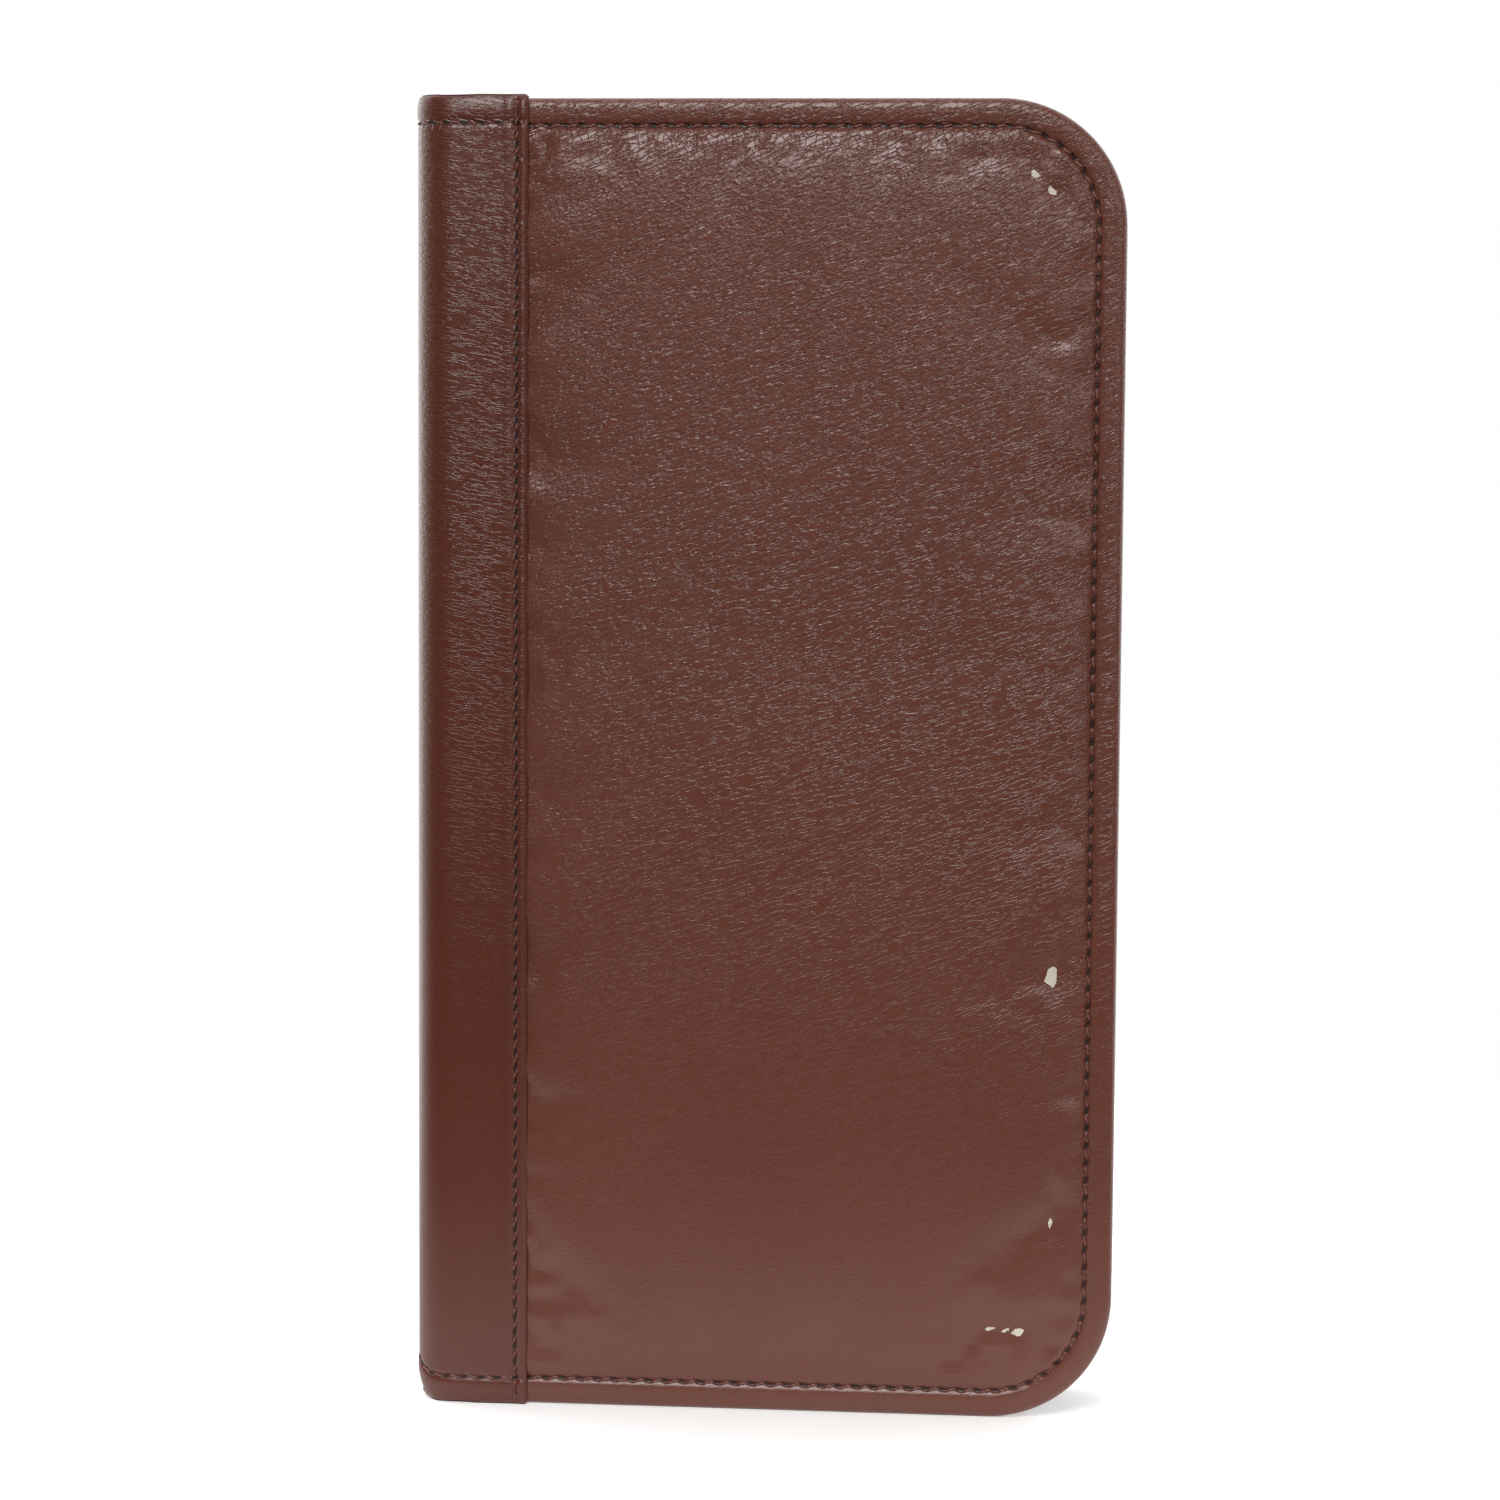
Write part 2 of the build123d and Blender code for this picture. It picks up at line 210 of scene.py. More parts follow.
# ---- materials
# Full-grain leather, drum dyed and lightly waxed: a soft wide sheen over fine pebbles and long faint creases
def leatherFinish(name, look):
    material, tree = newMaterial(name)
    place = addNode(tree, "ShaderNodeTexCoord").outputs["Object"]
    parts = addNode(tree, "ShaderNodeSeparateXYZ", None, {"Vector": place})
    # the relief and the painted crease shade are strong towards the top and fade towards the bottom
    topReliefAndShade = addNode(tree, "ShaderNodeMapRange", {"interpolation_type": "SMOOTHSTEP"}, {
        "Value": parts.outputs["Z"], "From Min": look["smoothBelow"] * mm, "From Max": look["fullAbove"] * mm,
        "To Min": look["smoothShare"], "To Max": 1.0}).outputs["Result"]
    # pebbled grain
    pebble = addNode(tree, "ShaderNodeTexVoronoi", {"feature": "SMOOTH_F1"}, {
        "Vector": place, "Scale": 1 / (look["pebble"] * mm), "Smoothness": 0.6}).outputs["Distance"]
    pores = addNode(tree, "ShaderNodeTexNoise", None, {
        "Vector": place, "Scale": 1 / (look["pore"] * mm), "Detail": 3.0, "Roughness": 0.6}).outputs["Fac"]
    # creases: a stretched noise whose middle value draws thin lines
    turned = addNode(tree, "ShaderNodeMapping", {"vector_type": "TEXTURE"}, {
        "Vector": place, "Rotation": (0, -math.radians(look["creaseTilt"]), 0),
        "Scale": (look["creaseLength"] * mm, look["creaseLength"] * mm, look["creaseWidth"] * mm)})
    creaseNoise = addNode(tree, "ShaderNodeTexNoise", None, {
        "Vector": turned.outputs["Vector"], "Scale": 1.0, "Detail": 2.0, "Roughness": 0.55}).outputs["Fac"]
    fromMiddle = addNode(tree, "ShaderNodeMath", {"operation": "SUBTRACT"}, {0: creaseNoise, 1: 0.5})
    away = addNode(tree, "ShaderNodeMath", {"operation": "ABSOLUTE"}, {0: fromMiddle.outputs[0]})
    crease = addNode(tree, "ShaderNodeMapRange", {"interpolation_type": "SMOOTHSTEP"}, {
        "Value": away.outputs[0], "From Min": 0.0, "From Max": look["creaseEdge"], "To Min": 0.0, "To Max": 1.0})
    crease = crease.outputs["Result"]
    # seam map: stitch count along, millimetres across
    seam = addNode(tree, "ShaderNodeUVMap", {"uv_map": "seamMap"}).outputs["UV"]
    seamParts = addNode(tree, "ShaderNodeSeparateXYZ", None, {"Vector": seam})
    along, across = seamParts.outputs["X"], seamParts.outputs["Y"]
    shifted = addNode(tree, "ShaderNodeMath", {"operation": "ADD"}, {0: along, 1: 0.5})
    part = addNode(tree, "ShaderNodeMath", {"operation": "FRACT"}, {0: shifted.outputs[0]})
    fromHole = addNode(tree, "ShaderNodeMath", {"operation": "SUBTRACT"}, {0: part.outputs[0], 1: 0.5})
    fromHoleMm = addNode(tree, "ShaderNodeMath", {"operation": "MULTIPLY"}, {
        0: fromHole.outputs[0], 1: look["pitch"]}).outputs[0]
    slant = addNode(tree, "ShaderNodeMath", {"operation": "MULTIPLY_ADD"}, {
        0: fromHoleMm, 1: -look["slitSlant"], 2: across}).outputs[0]
    slitLong = addNode(tree, "ShaderNodeMath", {"operation": "DIVIDE"}, {0: fromHoleMm, 1: look["slitLength"] / 2})
    slitWide = addNode(tree, "ShaderNodeMath", {"operation": "DIVIDE"}, {0: slant, 1: look["slitWidth"] / 2})
    slitPoint = addNode(tree, "ShaderNodeCombineXYZ", None, {
        "X": slitLong.outputs[0], "Y": slitWide.outputs[0]})
    slitFar = addNode(tree, "ShaderNodeVectorMath", {"operation": "LENGTH"}, {
        0: slitPoint.outputs["Vector"]}).outputs["Value"]
    slit = addNode(tree, "ShaderNodeMapRange", {"interpolation_type": "SMOOTHSTEP"}, {
        "Value": slitFar, "From Min": 0.75, "From Max": 1.15, "To Min": 1.0, "To Max": 0.0}).outputs["Result"]
    lip = addNode(tree, "ShaderNodeMapRange", {"interpolation_type": "SMOOTHSTEP"}, {
        "Value": slitFar, "From Min": 1.0, "From Max": 1.9, "To Min": 0.0, "To Max": 1.0}).outputs["Result"]
    # puckers: wrinkles that run out from the stitching, gone a few millimetres from it
    pull = addNode(tree, "ShaderNodeMapping", None, {
        "Vector": seam, "Scale": (look["pitch"] / look["puckerWidth"], 1 / look["puckerLength"], 1)})
    puckerNoise = addNode(tree, "ShaderNodeTexNoise", {"noise_dimensions": "2D"}, {
        "Vector": pull.outputs["Vector"], "Scale": 1.0, "Detail": 2.5, "Roughness": 0.6}).outputs["Fac"]
    distance = addNode(tree, "ShaderNodeMath", {"operation": "ABSOLUTE"}, {0: across}).outputs[0]
    nearSeam = addNode(tree, "ShaderNodeMapRange", {"interpolation_type": "SMOOTHSTEP"}, {
        "Value": distance, "From Min": 0.6, "From Max": look["puckerReach"], "To Min": 1.0, "To Max": 0.0})
    inside = addNode(tree, "ShaderNodeMapRange", None, {
        "Value": across, "From Min": -0.3, "From Max": 0.3, "To Min": 0.15, "To Max": 1.0})
    puckerShare = addNode(tree, "ShaderNodeMath", {"operation": "MULTIPLY"}, {
        0: nearSeam.outputs["Result"], 1: inside.outputs["Result"]})
    puckerShare = addNode(tree, "ShaderNodeMath", {"operation": "MULTIPLY"}, {0: puckerShare.outputs[0], 1: topReliefAndShade})
    # the pebbles are stretched flat where the leather is pulled tight beside the seam
    tight = addNode(tree, "ShaderNodeMath", {"operation": "MULTIPLY_ADD"}, {
        0: puckerShare.outputs[0], 1: -0.65, 2: topReliefAndShade}).outputs[0]
    # a net of short cracks where the leather is pulled over the padding, longer away from the seam than along it
    bent = addNode(tree, "ShaderNodeVectorMath", {"operation": "SCALE"}, {
        0: addNode(tree, "ShaderNodeTexNoise", None, {
            "Vector": place, "Scale": 1 / (2.5 * mm), "Detail": 1.0}).outputs["Color"], "Scale": 0.7})
    netPlace = addNode(tree, "ShaderNodeMapping", None, {
        "Vector": seam, "Scale": (look["pitch"] / look["crackWidth"], 1 / look["crackLength"], 1)})
    netPlace = addNode(tree, "ShaderNodeVectorMath", {"operation": "ADD"}, {
        0: netPlace.outputs["Vector"], 1: bent.outputs["Vector"]})
    net = addNode(tree, "ShaderNodeTexVoronoi", {"feature": "DISTANCE_TO_EDGE", "voronoi_dimensions": "2D"}, {
        "Vector": netPlace.outputs["Vector"], "Scale": 1.0}).outputs["Distance"]
    net = addNode(tree, "ShaderNodeMapRange", {"interpolation_type": "SMOOTHSTEP"}, {
        "Value": net, "From Min": 0.0, "From Max": 0.07, "To Min": 0.0, "To Max": 1.0}).outputs["Result"]
    # colour: two close browns in slow clouds, with painted shade in the creases and in the needle holes along the seam
    cloud = addNode(tree, "ShaderNodeTexNoise", None, {
        "Vector": place, "Scale": 1 / (38 * mm), "Detail": 3.0, "Roughness": 0.55}).outputs["Fac"]
    brown = addNode(tree, "ShaderNodeMix", {"data_type": "RGBA"}, {
        "Factor": cloud, 6: toLinear(look["dark"]), 7: toLinear(look["light"])}).outputs[2]
    # painted shade: the creases are darkened in colour, more strongly towards the top
    creaseShadeTone = addNode(tree, "ShaderNodeMapRange", None, {
        "Value": crease, "From Min": 0.0, "From Max": 1.0, "To Min": 1 - look["creaseShadeAmount"], "To Max": 1.0})
    toned = addNode(tree, "ShaderNodeMix", {"data_type": "RGBA", "blend_type": "MULTIPLY"}, {
        "Factor": topReliefAndShade, 6: brown, 7: creaseShadeTone.outputs["Result"]}).outputs[2]
    poreTone = addNode(tree, "ShaderNodeMapRange", None, {
        "Value": pores, "From Min": 0.3, "From Max": 0.7, "To Min": 0.93, "To Max": 1.07})
    toned = addNode(tree, "ShaderNodeMix", {"data_type": "RGBA", "blend_type": "MULTIPLY"}, {
        "Factor": 1.0, 6: toned, 7: poreTone.outputs["Result"]}).outputs[2]
    # painted shade: the needle holes are filled with a near-black brown
    colour = addNode(tree, "ShaderNodeMix", {"data_type": "RGBA"}, {
        "Factor": slit, 6: toned, 7: toLinear("#1a0806")}).outputs[2]
    sheen = addNode(tree, "ShaderNodeMapRange", None, {
        "Value": pores, "From Min": 0.25, "From Max": 0.75,
        "To Min": look["rough"] - 0.05, "To Max": look["rough"] + 0.06}).outputs["Result"]
    rough = addNode(tree, "ShaderNodeMath", {"operation": "MULTIPLY_ADD"}, {0: slit, 1: 0.4, 2: sheen}).outputs[0]
    # relief, coarse to fine, with heights in millimetres
    normal = None
    for height, depth, share in (
            (puckerNoise, look["puckerDepth"], puckerShare.outputs[0]),
            (net, look["crackDepth"], puckerShare.outputs[0]),
            (crease, look["creaseDepth"], topReliefAndShade),
            (pebble, -look["pebbleDepth"], tight),
            (pores, look["poreDepth"], tight),
            (lip, look["slitDepth"], None)):
        inputs = {"Height": height, "Distance": abs(depth) * mm, "Strength": 1.0}
        if share is not None:
            inputs["Strength"] = share
        if normal is not None:
            inputs["Normal"] = normal
        normal = addNode(tree, "ShaderNodeBump", {"invert": depth < 0}, inputs).outputs["Normal"]
    finishShader(tree, {
        "Base Color": colour, "Roughness": rough, "Normal": normal, "IOR": 1.48,
        "Specular IOR Level": look["shine"],
        "Coat Weight": look["wax"], "Coat Roughness": look["waxRough"], "Coat Normal": normal})
    return material


panelLook = {
    "dark": "#5e3226", "light": "#683a2d", "rough": 0.34, "shine": 0.4, "wax": 0.25, "waxRough": 0.22,
    "pebble": 0.65, "pebbleDepth": 0.065, "pore": 0.4, "poreDepth": 0.028,
    "creaseTilt": 22, "creaseLength": 5.0, "creaseWidth": 1.0, "creaseEdge": 0.07,
    "creaseDepth": 0.1, "creaseShadeAmount": 0.12, "crackWidth": 1.5, "crackLength": 2.6, "crackDepth": 0.06,
    "smoothBelow": 10, "fullAbove": 230, "smoothShare": 0.15,
    "pitch": 3.3, "slitSlant": 0.18, "slitLength": 1.5, "slitWidth": 0.62, "slitDepth": 0.2,
    "puckerWidth": 1.9, "puckerLength": 7.0, "puckerReach": 11.0, "puckerDepth": 0.09,
}
stripLook = dict(
    panelLook, dark="#52261a", light="#5c2d1f", creaseTilt=-10, creaseLength=4.5, creaseWidth=0.75, creaseDepth=0.04,
    pitch=2.85, slitSlant=0.2, puckerReach=3.0, puckerDepth=0.08, pebbleDepth=0.025, poreDepth=0.015)
pocketLook = dict(
    panelLook, dark="#4c2f27", light="#543429", pebbleDepth=0.03, creaseDepth=0.015,
    smoothBelow=-400, fullAbove=-300, puckerDepth=0.05)


# Waxed polyester thread in the leather's own brown, twisted from fine strands
def threadFinish():
    material, tree = newMaterial("waxedThread")
    place = addNode(tree, "ShaderNodeTexCoord").outputs["Object"]
    strands = addNode(tree, "ShaderNodeTexWave", {"bands_direction": "DIAGONAL"}, {
        "Vector": place, "Scale": 1 / (2.2 * mm), "Distortion": 1.5, "Detail": 1.0}).outputs["Fac"]
    tone = addNode(tree, "ShaderNodeMix", {"data_type": "RGBA"}, {
        "Factor": strands, 6: toLinear("#56302a"), 7: toLinear("#7a4c42")}).outputs[2]
    bump = addNode(tree, "ShaderNodeBump", None, {
        "Height": strands, "Distance": 0.05 * mm, "Strength": 0.6}).outputs["Normal"]
    finishShader(tree, {"Base Color": tone, "Roughness": 0.42, "Normal": bump})
    return material


# Dark brown twill lining: fine diagonal ribs, matt with a faint sheen
def twillFinish():
    material, tree = newMaterial("twillLining")
    place = addNode(tree, "ShaderNodeTexCoord").outputs["Object"]
    turned = addNode(tree, "ShaderNodeMapping", {"vector_type": "TEXTURE"}, {
        "Vector": place, "Rotation": (0, math.radians(45), 0)})
    ribs = addNode(tree, "ShaderNodeTexWave", {"bands_direction": "X"}, {
        "Vector": turned.outputs["Vector"], "Scale": 0.314 / (0.9 * mm), "Distortion": 0.8, "Detail": 1.0})
    yarns = addNode(tree, "ShaderNodeTexWave", {"bands_direction": "Z"}, {
        "Vector": place, "Scale": 0.314 / (0.7 * mm), "Distortion": 0.6, "Detail": 1.0})
    weave = addNode(tree, "ShaderNodeMath", {"operation": "MULTIPLY"}, {
        0: ribs.outputs["Fac"], 1: yarns.outputs["Fac"]}).outputs[0]
    slub = addNode(tree, "ShaderNodeTexNoise", None, {
        "Vector": place, "Scale": 1 / (6 * mm), "Detail": 3.0}).outputs["Fac"]
    tone = addNode(tree, "ShaderNodeMix", {"data_type": "RGBA"}, {
        "Factor": weave, 6: toLinear("#2b1d18"), 7: toLinear("#4d372e")}).outputs[2]
    toneShare = addNode(tree, "ShaderNodeMapRange", None, {
        "Value": slub, "From Min": 0.3, "From Max": 0.7, "To Min": 0.9, "To Max": 1.1})
    tone = addNode(tree, "ShaderNodeMix", {"data_type": "RGBA", "blend_type": "MULTIPLY"}, {
        "Factor": 1.0, 6: tone, 7: toneShare.outputs["Result"]}).outputs[2]
    bump = addNode(tree, "ShaderNodeBump", None, {
        "Height": weave, "Distance": 0.08 * mm, "Strength": 0.8}).outputs["Normal"]
    finishShader(tree, {"Base Color": tone, "Roughness": 0.78, "Normal": bump, "Sheen Weight": 0.15})
    return material


# Bright nickel plating on pressed steel: a clear mirror, a little soft with faint rolling marks
def nickelFinish():
    material, tree = newMaterial("nickelPlatedSteel")
    place = addNode(tree, "ShaderNodeTexCoord").outputs["Object"]
    rolled = addNode(tree, "ShaderNodeMapping", {"vector_type": "TEXTURE"}, {
        "Vector": place, "Scale": (0.5 * mm, 0.5 * mm, 14 * mm)})
    marks = addNode(tree, "ShaderNodeTexNoise", None, {
        "Vector": rolled.outputs["Vector"], "Scale": 1.0, "Detail": 3.0}).outputs["Fac"]
    rough = addNode(tree, "ShaderNodeMapRange", None, {
        "Value": marks, "From Min": 0.3, "From Max": 0.7, "To Min": 0.14, "To Max": 0.26}).outputs["Result"]
    smear = addNode(tree, "ShaderNodeTexNoise", None, {
        "Vector": place, "Scale": 1 / (9 * mm), "Detail": 2.0}).outputs["Fac"]
    tone = addNode(tree, "ShaderNodeMix", {"data_type": "RGBA"}, {
        "Factor": smear, 6: toLinear("#c4bfb6"), 7: toLinear("#d6d2ca")}).outputs[2]
    bump = addNode(tree, "ShaderNodeBump", None, {
        "Height": marks, "Distance": 0.01 * mm, "Strength": 0.4}).outputs["Normal"]
    finishShader(tree, {"Base Color": tone, "Metallic": 1.0, "Roughness": rough, "Normal": bump})
    return material


# Clear polypropylene film, welded: glossy, faintly milky, with a slow waviness
def filmFinish():
    material, tree = newMaterial("clearPocketFilm")
    place = addNode(tree, "ShaderNodeTexCoord").outputs["Object"]
    wavy = addNode(tree, "ShaderNodeTexNoise", None, {
        "Vector": place, "Scale": 1 / (26 * mm), "Detail": 1.0}).outputs["Fac"]
    haze = addNode(tree, "ShaderNodeTexNoise", None, {
        "Vector": place, "Scale": 1 / (2.5 * mm), "Detail": 2.0}).outputs["Fac"]
    rough = addNode(tree, "ShaderNodeMapRange", None, {
        "Value": haze, "From Min": 0.3, "From Max": 0.7, "To Min": 0.1, "To Max": 0.2}).outputs["Result"]
    tone = addNode(tree, "ShaderNodeMix", {"data_type": "RGBA"}, {
        "Factor": haze, 6: toLinear("#d9e0e2"), 7: toLinear("#eaf0f1")}).outputs[2]
    bump = addNode(tree, "ShaderNodeBump", None, {
        "Height": wavy, "Distance": 1.2 * mm, "Strength": 0.5}).outputs["Normal"]
    finishShader(tree, {"Base Color": tone, "Roughness": rough, "Normal": bump, "Alpha": 0.13, "IOR": 1.49})
    return material


# Grey board and foam, both sealed inside the leather: matt, fibrous or finely celled
def fillingFinish(name, dark, light, cell):
    material, tree = newMaterial(name)
    place = addNode(tree, "ShaderNodeTexCoord").outputs["Object"]
    cells = addNode(tree, "ShaderNodeTexNoise", None, {
        "Vector": place, "Scale": 1 / (cell * mm), "Detail": 4.0}).outputs["Fac"]
    tone = addNode(tree, "ShaderNodeMix", {"data_type": "RGBA"}, {
        "Factor": cells, 6: toLinear(dark), 7: toLinear(light)}).outputs[2]
    bump = addNode(tree, "ShaderNodeBump", None, {
        "Height": cells, "Distance": 0.1 * mm, "Strength": 0.5}).outputs["Normal"]
    finishShader(tree, {"Base Color": tone, "Roughness": 0.9, "Normal": bump})
    return material


panelLeather = leatherFinish("fullGrainLeather", panelLook)
spineLeather = leatherFinish("spineLeather", stripLook)
pocketLeather = leatherFinish("pocketLeather", pocketLook)
waxedThread = threadFinish()
twillLining = twillFinish()
nickelSteel = nickelFinish()
clearFilm = filmFinish()
greyBoard = fillingFinish("greyBoard", "#7c7264", "#9a8f7e", 0.8)
sealedFoam = fillingFinish("sealedFoam", "#b9b3a2", "#d6d0c0", 0.5)
print("materials made")


# ---- cover leather
def panelSeam():
    # lengths of the stitching's runs: along the top, round the corner, down the fore edge
    radius = panel["cornerRadius"]
    top = case["foreEdge"] - radius - case["lapEdge"]
    corner = math.pi / 2 * (radius - panel["stitchInset"])
    fore = case["coverTop"] - 2 * radius
    return top, corner, fore


topRun, cornerRun, foreRun = panelSeam()
seamLength = 2 * topRun + 2 * cornerRun + foreRun
panel["pitch"] = seamLength / panel["stitches"]


def seamPoint(along):
    # a point on the perimeter stitching and its direction, from the lap's edge at the top round to the bottom
    radius = panel["cornerRadius"]
    ring = radius - panel["stitchInset"]
    centreX = case["foreEdge"] - radius
    low, high = radius, case["coverTop"] - radius
    if along < topRun:
        return case["lapEdge"] + along, case["coverTop"] - panel["stitchInset"], 1, 0
    along -= topRun
    if along < cornerRun:
        turn = along / ring
        return centreX + ring * math.sin(turn), high + ring * math.cos(turn), math.cos(turn), -math.sin(turn)
    along -= cornerRun
    if along < foreRun:
        return case["foreEdge"] - panel["stitchInset"], high - along, 0, -1
    along -= foreRun
    if along < cornerRun:
        turn = along / ring
        return centreX + ring * math.cos(turn), low - ring * math.sin(turn), -math.sin(turn), -math.cos(turn)
    along -= cornerRun
    return centreX - along, panel["stitchInset"], -1, 0


def paddedRise(seed):
    # how far the leather lifts over the foam: a slack sheet held along the stitching and pushed out
    left = case["lapEdge"] - 3
    right = case["foreEdge"] - panel["stitchInset"]
    low, high = panel["stitchInset"], case["coverTop"] - panel["stitchInset"]
    cell = 3.0
    columns = np.linspace(left, right, round((right - left) / cell) + 1)
    rows = np.linspace(low, high, round((high - low) / cell) + 1)
    ring = panel["cornerRadius"] - panel["stitchInset"]
    gridX, gridZ = np.meshgrid(columns, rows, indexing="ij")
    cornerX = np.maximum(gridX - (right - ring), 0)
    cornerZ = np.maximum(np.maximum(low + ring - gridZ, gridZ - (high - ring)), 0)
    inside = np.minimum(np.minimum(right - gridX, gridX - left), np.minimum(gridZ - low, high - gridZ))
    rounded = (cornerX > 0) & (cornerZ > 0)
    inside = np.where(rounded, ring - np.hypot(cornerX, cornerZ), inside)
    rise = panel["seamSlope"] * np.maximum(inside, 0)
    draw = random.Random(seed)
    bm, table = gridBmesh(columns, rows)
    for (i, j), vert in table.items():
        vert.co = (gridX[i, j] * mm, draw.uniform(-0.1, 0.1) * mm, gridZ[i, j] * mm)
    mesh = bpy.data.meshes.new("slackSheet")
    order = {vert.index: key for key, vert in table.items()}
    bm.to_mesh(mesh)
    bm.free()
    sheet = bpy.data.objects.new("slackSheet", mesh)
    bpy.context.scene.collection.objects.link(sheet)
    held = sheet.vertex_groups.new(name="held")
    held.add([index for index, key in order.items() if inside[key] < 0.5], 1.0, "REPLACE")
    cloth = sheet.modifiers.new("slack", "CLOTH")
    cloth.settings.quality = 6
    cloth.settings.mass = 0.02
    cloth.settings.bending_stiffness = 2.0
    cloth.settings.vertex_group_mass = "held"
    cloth.settings.shrink_min = -0.03
    cloth.settings.use_pressure = True
    cloth.settings.uniform_pressure_force = 2.0
    cloth.settings.effector_weights.gravity = 0
    for step in range(1, 25):
        bpy.context.scene.frame_set(step)
    solved = sheet.evaluated_get(bpy.context.evaluated_depsgraph_get()).data
    lift = np.zeros_like(rise)
    for index, key in order.items():
        lift[key] = abs(solved.vertices[index].co.y) / mm
    print(f"slack sheet rises {lift.max():.2f} mm, beside the seam {lift[inside < 4].max():.2f} mm")
    bpy.data.objects.remove(sheet)
    bpy.context.scene.frame_set(1)
    rise = lift
    return {"columns": columns, "rows": rows, "rise": rise}


def sampleRise(solved, x, z):
    columns, rows, rise = solved["columns"], solved["rows"], solved["rise"]
    i = np.clip((x - columns[0]) / (columns[1] - columns[0]), 0, len(columns) - 1.001)
    j = np.clip((z - rows[0]) / (rows[1] - rows[0]), 0, len(rows) - 1.001)
    i0, j0 = i.astype(int), j.astype(int)
    di, dj = i - i0, j - j0
    low = rise[i0, j0] * (1 - di) + rise[i0 + 1, j0] * di
    high = rise[i0, j0 + 1] * (1 - di) + rise[i0 + 1, j0 + 1] * di
    return low * (1 - dj) + high * dj


def panelShape(u, v, solved, seed):
    # u and v run over the flat hide, past the cover's edges by the turned-in hem
    radius, roll = panel["cornerRadius"], panel["edgeRadius"]
    right, top = case["foreEdge"], case["coverTop"]
    centreX = right - radius
    a = u - centreX
    upper = v > top / 2
    b = np.where(upper, v - (top - radius), radius - v)
    corner = (a > 0) & (b > 0)
    away = np.maximum(np.hypot(a, b), 1e-9)
    fromRight, fromEnd = right - u, np.minimum(v, top - v)
    inset = np.where(corner, radius - np.maximum(a, b), np.minimum(fromRight, fromEnd))
    turn = np.maximum((roll - inset) / roll, 0)
    folded = np.where(turn <= math.pi, roll * (1 - np.sin(turn)), roll * (1 + turn - math.pi))
    held = np.where(turn > 0, folded, inset)
    depth = np.where(turn <= math.pi, roll * (1 - np.cos(turn)), 2 * roll)
    sign = np.where(upper, 1, -1)
    nearRight = fromRight < fromEnd
    x = np.where(corner, centreX + a / away * (radius - held), np.where(nearRight, right - held, u))
    endZ = np.where(upper, top - held, held)
    cornerZ = np.where(upper, top - radius, radius) + sign * b / away * (radius - held)
    z = np.where(corner, cornerZ, np.where(nearRight, v, endZ))
    # along the seam, in millimetres from the lap's edge at the top
    swing = np.arctan2(a, np.maximum(b, 1e-9)) * (radius - panel["stitchInset"])
    alongTop = np.where(corner, topRun + swing, np.where(nearRight, topRun + cornerRun + top - radius - v,
                                                        u - case["lapEdge"]))
    alongLow = np.where(corner, seamLength - topRun - swing, np.where(nearRight, topRun + cornerRun + top - radius - v,
                                                                     seamLength - u + case["lapEdge"]))
    along = np.where(upper, alongTop, alongLow)
    across = inset - panel["stitchInset"]
    # height over the border's level
    flat = smooth(0.1, 1.6, inset)
    bulge = panel["borderBulge"] * np.sin(math.pi * np.clip((inset - 0.2) / 4.8, 0, 1))
    push = sampleRise(solved, x, z)
    crown = panel["crown"] * (1 - np.exp(-push / panel["crown"])) * smooth(-0.2, 0.8, across)
    fade = np.exp(-np.abs(across) / 2.4)
    side = 0.35 + 0.65 * smooth(top * 0.3, top * 0.95, z)
    pucker = 0.085 * ripple(along, [(panel["pitch"], 0.4), (2.3, 0.3), (4.7, 0.4), (1.75, 0.2)], seed)
    pucker = pucker * fade * side * np.where(across > 0, 1, 0.35)
    fromHole = (along / panel["pitch"] + 0.5) % 1 - 0.5
    groove = panel["grooveDepth"] * np.exp(-(across / panel["grooveWidth"]) ** 2)
    groove = groove + 0.18 * np.exp(-(fromHole * panel["pitch"] / 0.55) ** 2 - (across / 0.45) ** 2)
    sway = 0.06 * ripple(x + 0.6 * z, [(61, 0.6), (37, 0.4)], seed + 1) * ripple(z, [(83, 0.7), (47, 0.3)], seed + 2)
    sway = sway * smooth(1, 12, across)
    height = flat * (bulge + crown + pucker - groove + sway)
    height = height * smooth(case["lapEdge"] - 1.5, case["lapEdge"] - 0.1, x)
    return x, z, case["borderLevel"] - depth + height, along / panel["pitch"], across


